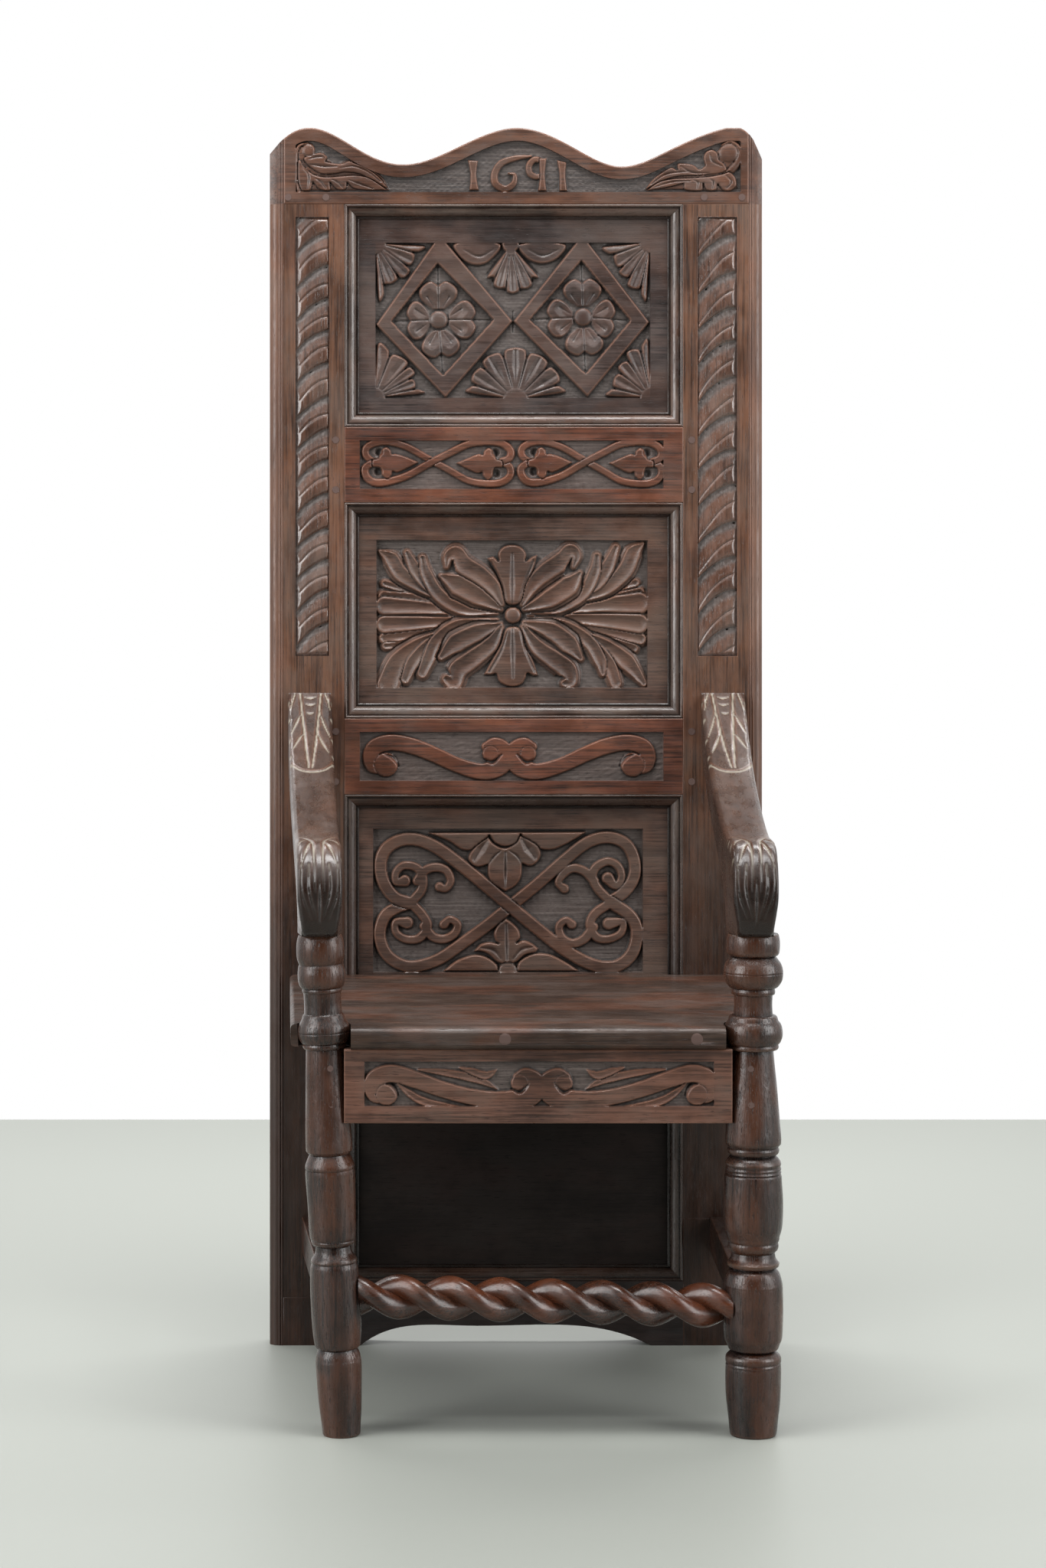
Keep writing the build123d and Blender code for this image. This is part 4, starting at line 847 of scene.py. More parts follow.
@dataclass
class CrestRail:
    """The top rail, with three rounded crests over a sunk field with leaves and a date."""

    border: float = 15.0
    field_left: float = -257.5
    field_right: float = 262.0
    field_bottom: float = 1345.0
    field_height: float = 62.0
    depth: float = 4.6
    cell: float = 0.8
    wear: float = 1.6  # how far its edges are rubbed round
    moulding: EdgeMoulding = EdgeMoulding()
    top_line: tuple[Point, ...] = (
        (-287.5, 1390.0), (-268.0, 1410.0), (-238.0, 1420.0), (-178.0, 1391.5), (-136.0, 1377.5),
        (-62.0, 1400.5), (3.0, 1420.0), (67.0, 1397.0), (121.0, 1375.0), (175.0, 1392.5), (243.0, 1419.5),
        (276.0, 1406.5), (287.5, 1384.0),
    )

    def __post_init__(self) -> None:
        """Fits a natural cubic through the top line, as its second slope at each point."""
        self.xs, self.zs = (np.array(c, float) for c in zip(*self.top_line))
        steps = np.diff(self.xs)
        count = len(self.xs)
        system, rise = np.eye(count), np.zeros(count)
        for i in range(1, count - 1):
            system[i, i - 1:i + 2] = steps[i - 1], 2 * (steps[i - 1] + steps[i]), steps[i]
            before, after = np.diff(self.zs[i - 1:i + 2]) / steps[i - 1:i + 1]
            rise[i] = 6 * (after - before)
        self.bend = np.linalg.solve(system, rise)

    def top(self, x: Array) -> Array:
        """Height of the top line.

        Args:
            x: places across.

        Returns:
            The height at each.
        """
        x = np.clip(x, self.xs[0], self.xs[-1])
        k = np.clip(np.searchsorted(self.xs, x) - 1, 0, len(self.xs) - 2)
        step, a, b = self.xs[k + 1] - self.xs[k], x - self.xs[k], self.xs[k + 1] - x
        z = (self.bend[k] * b**3 + self.bend[k + 1] * a**3) / (6 * step)
        z += (self.zs[k] / step - self.bend[k] * step / 6) * b
        z += (self.zs[k + 1] / step - self.bend[k + 1] * step / 6) * a
        return np.minimum(z, max(self.zs))

    def slope_width(self, x: Array) -> Array:
        """How much longer a step along the top line is than a step across."""
        slope = self.top(x + 0.5) - self.top(x - 0.5)
        return np.sqrt(1 + slope**2)

    def carve(self, relief: Relief) -> None:
        """Cuts the date and a leaf in each corner.

        Args:
            relief: the field.
        """
        self.carve_date(relief)
        relief.shape([(-255, 1391), (-246, 1402), (-237, 1401), (-234, 1392), (-225, 1392), (-218, 1383),
                      (-209, 1379), (-194, 1383), (-174, 1375), (-156, 1363), (-147, 1347, 1),
                      (-252, 1347, 1)], top=-2.4)
        relief.shape([(261, 1401), (244, 1404), (235, 1394), (226, 1393), (219, 1385), (220, 1377),
                      (211, 1373), (191, 1380), (187, 1372), (169, 1369), (148, 1347, 1), (184, 1348),
                      (255, 1348), (249, 1367), (261, 1383)], top=-2.4)
        # The left leaf: a band that springs from a volute, an upper leaf and a lobed lower leaf.
        relief.stroke([(-243, 1402), (-253, 1399), (-257, 1388), (-256, 1371), (-252, 1349)],
                      [3, 5, 6, 8, 11], Cut.DOME)
        relief.shape([(-248, 1385), (-240, 1389), (-233, 1391), (-226, 1391), (-220, 1386), (-222, 1381, 1),
                      (-212, 1379), (-203, 1379), (-195, 1382), (-188, 1379), (-177, 1375), (-166, 1368),
                      (-157, 1360), (-148, 1348, 1), (-159, 1353), (-169, 1359), (-183, 1366), (-199, 1368),
                      (-213, 1366), (-227, 1366), (-238, 1372), (-246, 1379)], top=-0.5, swell=0.5)
        relief.shape([(-255, 1381), (-251, 1382), (-246, 1374), (-236, 1366), (-222, 1363), (-205, 1364),
                      (-190, 1365), (-175, 1363), (-163, 1357), (-149, 1347, 1), (-161, 1347), (-175, 1347),
                      (-189, 1349), (-197, 1356, 1), (-199, 1348), (-209, 1348), (-217, 1356, 1),
                      (-217, 1347), (-229, 1348), (-237, 1356, 1), (-240, 1347), (-251, 1346, 1),
                      (-255, 1358)], swell=0.5)
        relief.boss((-242, 1394), 7.4, top=-0.2, low=-2.6, flat=0.35)
        for line in ([(-242, 1383), (-234, 1386), (-226, 1386)], [(-240, 1377), (-224, 1375), (-209, 1375)],
                     [(-206, 1373), (-189, 1375), (-173, 1369), (-158, 1357)],
                     [(-235, 1361), (-229, 1358), (-222, 1349)], [(-216, 1360), (-209, 1357), (-201, 1349)],
                     [(-195, 1359), (-183, 1355), (-167, 1349)],
                     [(-249, 1374), (-242, 1364), (-243, 1349)]):
            relief.groove(line, [1.5, 3.2, 2.0], 2.0)
        # The right leaf, with its volute above a hooked lobe.
        relief.stroke([(240, 1400), (250, 1404), (260, 1396), (260, 1383), (252, 1372), (244, 1366)],
                      [3, 5, 7, 9, 10, 8], Cut.DOME)
        relief.shape([(149, 1347, 1), (159, 1360), (171, 1369), (181, 1374), (188, 1371, 1), (188, 1378),
                      (196, 1379), (207, 1377), (214, 1372), (220, 1376, 1), (218, 1385), (221, 1392),
                      (228, 1395), (235, 1391), (237, 1383), (243, 1378), (246, 1371), (239, 1367),
                      (224, 1365), (206, 1364), (188, 1363), (170, 1358), (159, 1352)], top=-0.5, swell=0.5)
        relief.shape([(150, 1346, 1), (166, 1357), (184, 1361), (206, 1362), (228, 1364), (242, 1367),
                      (249, 1369), (256, 1362), (257, 1352), (249, 1346), (241, 1347), (235, 1354, 1),
                      (233, 1347), (222, 1347), (218, 1355, 1), (217, 1347), (206, 1346), (196, 1348),
                      (195, 1355, 1), (184, 1352), (170, 1349)], swell=0.5)
        relief.boss((248, 1391), 11.0, top=-0.2, low=-2.6, flat=0.35)
        for line in ([(192, 1375), (205, 1368), (225, 1367)], [(157, 1354), (175, 1366), (200, 1369)],
                     [(226, 1389), (229, 1381), (240, 1375)], [(226, 1360), (230, 1357), (229, 1349)],
                     [(207, 1359), (212, 1356), (211, 1349)], [(244, 1365), (251, 1357), (245, 1349)],
                     [(162, 1351), (182, 1357), (203, 1358)]):
            relief.groove(line, [1.5, 3.2, 2.0], 2.0)

    def carve_date(self, relief: Relief) -> None:
        """Cuts the numerals in the middle of the field.

        Args:
            relief: the field.
        """
        relief.shape([(-57, 1383, 1), (-44, 1382, 1), (-46, 1365), (-43, 1347, 1), (-55, 1347, 1),
                      (-54, 1365)], top=-0.6)
        relief.stroke([(17, 1387), (0, 1385), (-17, 1379), (-25, 1367), (-24, 1355), (-13, 1349), (-3, 1355),
                       (-2, 1365), (-9, 1367)], [3.5, 7.5, 9, 9.5, 9.5, 9, 8, 6, 3], top=-0.6)
        relief.stroke([(30, 1382), (21, 1383), (15, 1376), (16, 1367), (24, 1363), (31, 1366)],
                      [7.5, 8, 8.5, 8.5, 7.5, 6], top=-0.6)
        relief.shape([(26, 1385, 1), (36, 1385, 1), (34, 1365), (36, 1346, 1), (25, 1346, 1), (27, 1365)],
                     top=-0.6)
        relief.shape([(47, 1383, 1), (59, 1380, 1), (58, 1364), (60, 1346, 1), (50, 1346, 1), (50, 1364)],
                     top=-0.6)

    def end_strips(self, bm: Mesh) -> None:
        """Adds the edge moulding that comes up from the stiles to each end of the rail.

        Args:
            bm: the rail's mesh, which gets it.
        """
        for side in Side:
            section = [(0.0, BACK_Y - FACE_Y), *self.moulding.section(), (self.moulding.run, BACK_Y - FACE_Y)]
            foot = bm.faces.new([bm.verts.new((side.value * (HALF_WIDTH - inwards), FACE_Y + sunk,
                                               CREST_JOINT)) for inwards, sunk in section])
            for vert in moved(bmesh.ops.extrude_face_region(bm, geom=[foot])):
                vert.co.z = float(self.top(vert.co.x))

    def build(self) -> None:
        """Builds the rail."""
        field = CrestPlan(self, self.field_left, self.field_right, self.field_bottom, self.border)
        inner = HALF_WIDTH - self.moulding.run
        board = CrestPlan(self, -inner, inner, CREST_JOINT, 0.0)
        bm = carved_board(field, board, FACE_Y, BACK_Y, self.depth, self.cell, self.carve, seed=11,
                          edge=self.wear)
        self.end_strips(bm)
        finish_piece(bm, "crest_rail_carved", CREST_OAK, ["crest_rail"], angle=60)


@dataclass(frozen=True)
class CrestPlan:
    """A plan for the crest rail's field or board, whose top edge follows the top line."""

    rail: CrestRail
    left: float
    right: float
    bottom: float
    drop: float

    def at(self, u: Array, v: Array, inset: float = 0.0) -> tuple[Array, Array]:
        """Places for shares across and up.

        Args:
            u, v: the shares, from 0 to 1.
            inset: how far the edges are moved in.

        Returns:
            The places' X and Z.
        """
        x = self.left + inset + u * (self.right - self.left - 2 * inset)
        high = self.rail.top(x) - (self.drop + inset) * self.rail.slope_width(x)
        low = self.bottom + inset
        return x, low + v * (high - low)

    def cells(self, size: float) -> tuple[int, int]:
        """How many cells of a size it takes."""
        return round((self.right - self.left) / size), round(self.rail.field_height / size)


# ---- rails with carved friezes ----
@dataclass
class CarvedPiece:
    """A rail or panel with a sunk, carved field in its face. The sizes are a rail's."""

    node: str
    board: Oblong
    field: Oblong
    seed: int
    front: float = FACE_Y
    thickness: float = BACK_Y - FACE_Y
    depth: float = 4.6
    cell: float = 0.8
    finish: OakFinish = CARVED_RAIL_OAK

    def carve(self, relief: Relief) -> None:
        """Leaves the field plain."""

    def build(self) -> None:
        """Builds the piece."""
        bm = carved_board(self.field, self.board, self.front, self.front + self.thickness, self.depth,
                          self.cell, self.carve, self.seed)
        finish_piece(bm, f"{self.node}_carved", self.finish, [self.node], angle=60)


@dataclass
class LoopedRail(CarvedPiece):
    """The upper mid rail: two pairs of crossed loops with leaves in their ends."""

    crossing: float = -95.0  # X where the left pair of loops crosses
    other_crossing: float = 84.0
    shrunk: float = 0.965  # width of the right pair, as a share of the left pair's

    def carve(self, relief: Relief) -> None:
        """Cuts the loops, then the leaves and the round eyes beside them.

        Args:
            relief: the field.
        """
        falling = [(-159, 1033), (-168, 1032), (-175, 1038), (-175, 1046), (-166, 1052), (-150, 1054),
                   (-128, 1048), (-106, 1036), (-95, 1030), (-75, 1019), (-54, 1008), (-31, 1005),
                   (-16, 1007), (-7, 1015), (-8, 1025), (-17, 1030), (-26, 1031)]
        rising = [(-159, 1030), (-168, 1029), (-176, 1023), (-175, 1014), (-167, 1007), (-151, 1007),
                  (-128, 1014), (-106, 1026), (-95, 1032), (-75, 1042), (-56, 1051), (-34, 1054),
                  (-17, 1052), (-7, 1044), (-8, 1035), (-17, 1031), (-26, 1030)]
        leaf_left = [(-168, 1033), (-161, 1035), (-159, 1043), (-152, 1048), (-146, 1044), (-145, 1040),
                     (-140, 1040), (-129, 1037), (-113, 1030, 1), (-126, 1023), (-138, 1018), (-144, 1019),
                     (-145, 1015), (-150, 1010), (-157, 1015), (-159, 1023), (-168, 1025)]
        leaf_right = [(-16, 1032), (-23, 1034), (-25, 1042), (-32, 1047), (-38, 1043), (-39, 1039),
                      (-44, 1040), (-55, 1036), (-71, 1029, 1), (-58, 1022), (-46, 1017), (-40, 1018),
                      (-39, 1014), (-33, 1009), (-27, 1014), (-25, 1023), (-16, 1024)]
        widths = [6, 8.5, 9.5, 9.5, 9.5, 9.5, 9, 9, 9, 9, 9, 9.5, 9.5, 9.5, 9.5, 8.5, 6]
        for middle, scale in ((self.crossing, 1.0), (self.other_crossing, self.shrunk)):
            def placed(points: Sequence[Point]) -> list[Point]:
                """The points moved to this pair of loops."""
                return [(middle + (p[0] - self.crossing) * scale, *p[1:]) for p in points]
            relief.stroke(placed(falling), widths)
            relief.stroke(placed(rising), widths, top=-0.3, low=-3.0)
            for leaf in (leaf_left, leaf_right):
                relief.shape(placed(leaf), top=-0.5, swell=0.3)
            for eye in ((-160, 1042), (-161, 1019), (-24, 1041), (-23, 1017)):
                relief.dish(placed([eye])[0], 5.4, 4.5)


def mirrored(points: Sequence[Point], middle: float) -> list[Point]:
    """Points turned over about an upright line."""
    return [(2 * middle - p[0], *p[1:]) for p in points]


@dataclass
class ScrolledRail(CarvedPiece):
    """A rail with a pair of long S-scrolls that meet in its middle. Its lines are the left scroll's."""

    middle: float = 0.0
    line: tuple[Point, ...] = ()
    widths: tuple[float, ...] = ()
    eyes: tuple[tuple[Point, float], ...] = ()  # middle and radius of the disc in each end
    slivers: tuple[tuple[Point, ...], ...] = ()  # leaves beside it
    notches: tuple[tuple[Point, ...], ...] = ()  # partings between the scroll and its eyes

    def carve(self, relief: Relief) -> None:
        """Cuts the two scrolls, which are one another's mirror and merge in the middle, then their details.

        Args:
            relief: the field.
        """
        relief.grow([(self.line, self.widths), (mirrored(self.line, self.middle), self.widths)], top=-0.35)
        for flip in (False, True):
            def turned(points: Sequence[Point]) -> list[Point]:
                """The points, or their mirror on the other side."""
                return mirrored(points, self.middle) if flip else list(points)
            for eye, disc in self.eyes:
                relief.boss(turned([eye])[0], disc, top=-0.35, low=-2.4, flat=0.82)
            for notch in self.notches:
                relief.groove(turned(notch), [3.0, 7.0, 3.0], 5.0)
            for sliver in self.slivers:
                relief.stroke(turned(sliver), [3, 8.5, 10, 7.5, 2], Cut.FLUTE, top=-0.5)


UPPER_RAIL = LoopedRail("upper_mid_rail", Oblong(INNER_LEFT, INNER_RIGHT, UPPER_RAIL_BOTTOM, UPPER_RAIL_TOP),
                        Oblong(-182.7, 171.9, 998.5, 1055.5), seed=21)
LOWER_RAIL = ScrolledRail(
    "lower_mid_rail", Oblong(INNER_LEFT, INNER_RIGHT, LOWER_RAIL_BOTTOM, LOWER_RAIL_TOP),
    Oblong(-182.7, 171.9, 658.0, 715.5), seed=22, middle=-8.0,
    line=((-158, 673), (-167, 676), (-170, 687), (-164, 698), (-146, 703), (-122, 699), (-96, 689),
          (-67, 676), (-40, 669), (-22, 674), (-12, 685), (-15, 696), (-25, 702), (-35, 698)),
    widths=(14, 18, 19, 20, 20, 20, 19, 18.5, 20, 24, 23, 19, 15, 12),
    eyes=(((-152, 677), 14.0), ((-30, 690), 9.5)),
    notches=(((-137, 675), (-143, 685), (-153, 689)), ((-37, 684), (-28, 680), (-17, 689))),
)
APRON = ScrolledRail(
    "front_seat_rail", Oblong(-202.6, 205.0, 331.0, SEAT_BOTTOM), Oblong(-181.5, 186.0, 348.6, 396.0),
    seed=51, front=LEG_Y - 20.0, thickness=26.0, finish=APRON_OAK, middle=5.0,
    line=((-162, 357), (-170, 360), (-174, 370), (-168, 379), (-152, 383), (-129, 377), (-101, 367),
          (-71, 359), (-41, 355), (-14, 357), (-1, 366), (-2, 376), (-12, 382), (-20, 379)),
    widths=(12, 16, 18, 20, 20, 19, 18, 18, 20, 24, 23, 19, 15, 12),
    eyes=(((-158, 361), 11.5), ((-18, 373), 9.5)),
    notches=(((-146, 360), (-151, 370), (-158, 372)), ((-26, 367), (-18, 364), (-10, 371))),
    slivers=(((-146, 372), (-134, 362), (-120, 354), (-97, 349), (-73, 347)),
             ((-125, 387), (-97, 384), (-71, 379), (-53, 373), (-41, 366)),
             ((-81, 389), (-68, 385), (-55, 381), (-48, 383), (-42, 387))),
)


# ---- carved panels ----
@dataclass
class CarvedPanel(CarvedPiece):
    """A panel of the back, set behind the frame's face and cut deeper than the rails."""

    front: float = PANEL_Y
    thickness: float = 12.0
    depth: float = 6.2
    cell: float = 0.9
    finish: OakFinish = PANEL_OAK

    def cluster(self, relief: Relief, fronds: Sequence[Stroke]) -> None:
        """Cuts fluted leaves that grow together, so that valleys and not the ground lie between them.

        Args:
            relief: the field.
            fronds: each leaf's middle line and widths.
        """
        valley = -3.6
        for points, widths in fronds:
            relief.stroke(points, [width * 1.5 + 3.0 for width in widths], top=valley, wall=2.0)
        for points, widths in fronds:
            relief.stroke(points, [width * 1.25 for width in widths], Cut.FLUTE, top=-0.2, low=valley,
                          dip=0.8, wall=1.8)


@dataclass
class UpperPanel(CarvedPanel):
    """Two flowered diamonds, fans in the corners and half flowers between them."""

    hub: float = 13.5  # radius of the quarter round in each corner
    # One lobe of a flower: places along it from the boss, and half its width there.
    lobe_along: tuple[float, ...] = (10.0, 16.5, 24.0, 31.0, 37.0, 40.0)
    lobe_half: tuple[float, ...] = (7.0, 16.5, 22.5, 22.5, 16.5, 8.0)
    lobe_start: float = 36.0
    lobe_ridge: float = 29.0
    lobe_reach: float = 58.0  # from the boss to the diamond's corner
    # Its section along its middle: places from its ridge, and heights.
    section_places: tuple[float, ...] = (-20.0, -9.0, 0.0, 3.0, 12.0)
    section_heights: tuple[float, ...] = (-4.2, -3.0, -0.2, -0.5, -2.4)

    def shoulder(self, centre: Array, near: Array, far: Array) -> Point:
        """The place beside a lobe's tip where a fan's edge turns in to the next notch.

        Args:
            centre: the fan's hub.
            near: the way from the hub to the tip.
            far: the way from the hub to the next lobe's tip.

        Returns:
            The place.
        """
        way = near * 0.62 + far * 0.38
        return tuple(centre + way * (np.hypot(*near) * 0.97 / np.hypot(*way)))

    def fan(self, relief: Relief, hub: Point, tips: Sequence[Point], disc: float,
            notch: float = 0.86) -> None:
        """Cuts a fan: one body with a scalloped edge and a flute in each lobe.

        Args:
            relief: the field.
            hub: the point that the flutes run from.
            tips: the lobes' ends, in order.
            disc: radius of the round at the hub.
            notch: how far out the notches between the lobes are, as a share of the lobes' reach.
        """
        centre = np.array(hub)
        reaches = [np.array(tip) - centre for tip in tips]
        outline = [(*hub, 1)]
        notches = []
        for here, there in zip(reaches[:-1], reaches[1:]):
            middle = (here + there) / 2
            reach = notch * (np.hypot(*here) + np.hypot(*there)) / 2
            notches.append(centre + middle * reach / np.hypot(*middle))
            outline += [tuple(centre + here), self.shoulder(centre, here, there), (*notches[-1], 1),
                        self.shoulder(centre, there, here)]
        outline.append(tuple(centre + reaches[-1]))
        relief.shape(outline, top=-0.5, swell=0.3)
        for reach in reaches:
            start, end = centre + reach * 0.34, centre + reach * 0.93
            width = 0.36 * np.hypot(*reach) * 1.7 / max(len(tips) - 1, 1) + 3.0
            relief.groove([tuple(start), tuple((start + end) / 2), tuple(end)], [2.0, width, width * 0.8],
                          2.6)
        for end in notches:
            relief.groove([tuple(centre + (end - centre) * 0.25), tuple(end)], [1.6, 3.2], 3.4)
        relief.boss(hub, disc, low=-1.4, flat=0.8)

    def lobe(self, relief: Relief, boss: Point, corner: Point) -> None:
        """Cuts one lobe of a flower, hollow to a ridge and then sloping away to the diamond's corner.

        Args:
            relief: the field.
            boss: middle of the flower.
            corner: the corner that it points to.
        """
        centre, axis = np.array(boss), np.array(corner) - np.array(boss)
        reach = float(np.hypot(*axis))
        axis = axis / reach
        side = np.array((-axis[1], axis[0]))
        scale = reach / self.lobe_reach
        points = [(*(centre + axis * self.lobe_start * scale), 1)]
        for way in (1, -1):
            edge = [tuple(centre + axis * along * scale + side * way * half)
                    for along, half in zip(self.lobe_along, self.lobe_half)]
            edge[0] = (*edge[0], 1)
            points += edge[::-1] if way > 0 else edge
        line, marks = smooth_line(points, closed=True)
        x, z = relief.x - centre[0], relief.z - centre[1]
        along, across = x * axis[0] + z * axis[1], x * side[0] + z * side[1]
        bend = self.lobe_ridge * scale - 3.0 * np.cos(across * 0.3)
        height = np.interp(along - bend, self.section_places, self.section_heights)
        spot = np.nonzero(inside(relief.x, relief.z, line))
        gap, _ = nearest(relief.x[spot], relief.z[spot], line, marks)
        relief.height[spot] = -relief.depth + (height[spot] + relief.depth) * ease(gap / 1.4)
        relief.groove([tuple(centre + axis * 12.0), tuple(centre + axis * (reach - 3.0))], [2.4, 2.4], 1.8)
        for way in (-1, 1):
            relief.groove([tuple(centre + axis * 15.0 + side * way * 5.0),
                           tuple(centre + axis * 27.0 + side * way * 13.0)], [1.6, 2.6], 1.8)

    def diamond(self, relief: Relief, outer: Sequence[Point], inner: Sequence[Point], boss: Point) -> None:
        """Cuts one diamond with the flower inside it.

        Args:
            relief: the field.
            outer: the band's outer corners, from the top round by the left.
            inner: its inner corners.
            boss: middle of the flower.
        """
        relief.shape([(*p, 1) for p in outer], top=-0.3, wall=1.0)
        relief.sink([(*p, 1) for p in inner])
        for corner in inner:
            self.lobe(relief, boss, corner)
        relief.boss(boss, 10.7, low=-4.4)

    def carve(self, relief: Relief) -> None:
        """Cuts the fans and half flowers, then the diamonds.

        Args:
            relief: the field.
        """
        for corner, tips in (
            ((-165, 1287), [(-109, 1284), (-119, 1265), (-126, 1249), (-144, 1239), (-161, 1222)]),
            ((158, 1288), [(104, 1283), (117, 1261), (123, 1249), (136, 1233), (154, 1222)]),
            ((-166, 1105), [(-162, 1167), (-129, 1151), (-119, 1138), (-117, 1124), (-109, 1110)]),
            ((159, 1105), [(156, 1171), (134, 1162), (123, 1146), (115, 1129), (108, 1107)]),
        ):
            self.fan(relief, corner, tips, self.hub)
        self.fan(relief, (0, 1103), [(-56, 1111), (-50, 1134), (-32, 1155), (0, 1165), (30, 1155),
                                     (50, 1134), (56, 1111)], 14.5, notch=0.85)
        for side, line in (([(-70, 1287), (-67, 1272), (-51, 1261), (-32, 1264), (-18, 1286)],
                            [(-61, 1279), (-43, 1271), (-26, 1279)]),
                           ([(5, 1286), (12, 1269), (31, 1262), (50, 1269), (57, 1286)],
                            [(16, 1278), (32, 1272), (50, 1279)])):
            relief.shape(side, top=-0.5, swell=0.3)
            relief.groove(line, [2.5, 5, 2.5], 2.0)
        self.fan(relief, (-6, 1285), [(-33, 1249), (-20, 1233), (-3, 1227), (14, 1233), (26, 1249)], 10.0,
                 notch=0.95)
        self.diamond(relief, [(-89, 1297), (-164, 1191), (-82, 1105), (-3, 1195)],
                     [(-91, 1263), (-145, 1195), (-85, 1132), (-26, 1197)], (-90, 1197))
        self.diamond(relief, [(78, 1297), (-3, 1195), (84, 1106), (157, 1194)],
                     [(77, 1266), (17, 1197), (82, 1134), (134, 1196)], (79, 1200))
        relief.groove([(-3, 1207), (-3, 1182)], [1.5, 1.5], 3.0)


class MiddlePanel(CarvedPanel):
    """A cross of long leaves round a boss."""

    def carve(self, relief: Relief) -> None:
        """Cuts the side leaves, the corner clusters, the S-leaves, and the two upright stems over them.

        Args:
            relief: the field.
        """
        self.cluster(relief, [
            ([(-102, 876), (-129, 881), (-153, 888)], [3, 8, 8]),
            ([(-67, 860), (-111, 870), (-154, 873)], [3, 10, 12]),
            ([(-75, 836), (-116, 829), (-153, 824)], [3, 10, 12]),
            ([(-102, 823), (-129, 817), (-152, 815)], [2, 7, 8]),
            ([(-24, 850), (-67, 856), (-111, 860), (-153, 862)], [4, 9, 14, 19]),
            ([(-22, 847), (-67, 844), (-111, 842), (-153, 840)], [3, 8, 14, 18]),
            ([(76, 867), (108, 881), (140, 889)], [3, 9, 9]),
            ([(54, 860), (99, 868), (145, 878)], [3, 10, 10]),
            ([(41, 844), (94, 834), (146, 823)], [3, 10, 12]),
            ([(63, 835), (103, 823), (138, 812)], [3, 9, 10]),
            ([(16, 852), (58, 858), (103, 863), (144, 865)], [4, 10, 15, 22]),
            ([(18, 848), (63, 847), (112, 844), (144, 841)], [3, 10, 16, 20]),
        ])
        self.cluster(relief, [
            ([(-75, 864), (-109, 883), (-134, 899), (-146, 917), (-159, 926)], [4, 12, 16, 16, 3]),
            ([(-75, 866), (-102, 885), (-117, 904), (-127, 924)], [4, 12, 14, 7]),
            ([(-22, 854), (-62, 858), (-89, 874), (-104, 898), (-109, 918)], [4, 13, 14, 13, 8]),
            ([(72, 867), (105, 881), (128, 903), (138, 924), (149, 935)], [4, 13, 17, 16, 3]),
            ([(67, 869), (94, 886), (107, 906), (117, 930)], [4, 12, 15, 8]),
            ([(14, 856), (50, 860), (79, 877), (92, 901), (95, 920)], [4, 13, 14, 13, 8]),
            ([(-75, 835), (-113, 817), (-137, 796), (-149, 769)], [4, 14, 21, 23]),
            ([(-75, 837), (-102, 817), (-120, 796), (-129, 776)], [4, 12, 14, 10]),
            ([(-22, 845), (-67, 839), (-92, 821), (-102, 799), (-109, 783)], [4, 13, 14, 14, 11]),
            ([(63, 835), (103, 817), (130, 796), (150, 771)], [4, 13, 18, 7]),
            ([(63, 837), (90, 817), (108, 794), (117, 772)], [4, 12, 15, 13]),
            ([(14, 845), (54, 839), (84, 821), (98, 799), (102, 783)], [4, 13, 14, 14, 7]),
        ])
        self.cluster(relief, [
            ([(-17, 858), (-44, 873), (-68, 887), (-87, 897)], [5, 19, 22, 5]),
            ([(10, 858), (39, 870), (63, 886), (75, 900)], [5, 19, 21, 6]),
            ([(-17, 840), (-44, 831), (-70, 818), (-87, 802)], [5, 18, 20, 7]),
            ([(10, 842), (41, 833), (62, 817), (76, 800)], [5, 18, 20, 6]),
            ([(-16, 864), (-26, 883), (-42, 898), (-61, 910), (-70, 923), (-79, 919), (-81, 908)],
             [6, 16, 19, 20, 17, 11, 5]),
            ([(8, 864), (19, 886), (36, 902), (55, 915), (64, 926), (71, 920), (68, 908)],
             [6, 16, 19, 20, 16, 11, 5]),
            ([(-17, 837), (-29, 817), (-50, 800), (-67, 787), (-72, 772), (-81, 776)],
             [6, 16, 19, 20, 17, 10]),
            ([(9, 837), (25, 814), (45, 799), (60, 787), (64, 774), (57, 771)], [6, 16, 19, 20, 15, 8]),
        ])
        up = [(-11, 865), (-17, 886), (-25, 905), (-34, 918, 1), (-26, 920), (-20, 915), (-21, 924),
              (-14, 932), (-3, 934), (7, 931), (13, 923), (12, 915), (19, 920), (26, 922, 1), (21, 904),
              (12, 886), (5, 865)]
        down = [(-11, 836), (-18, 817), (-28, 799), (-38, 781, 1), (-28, 781), (-23, 782), (-20, 774),
                (-13, 769), (-3, 767), (7, 770), (12, 777), (14, 783), (20, 780), (27, 780, 1), (21, 798),
                (12, 815), (5, 836)]
        for outline, far in ((up, (-4, 923)), (down, (-3, 778))):
            relief.shape(outline, swell=0.3)
            relief.groove([(-4, 850), far], [2, 7, 4], 2.6)
        for points in ([(-29, 913), (-17, 889), (-10, 864)], [(21, 915), (11, 889), (3, 864)],
                       [(-31, 785), (-17, 810), (-9, 835)], [(23, 785), (12, 810), (4, 835)]):
            relief.groove(points, [5, 5, 2], 2.4)
        relief.dish((-3, 850), 19, 3.2)
        relief.boss((-3, 851), 9.5, low=-3.8)


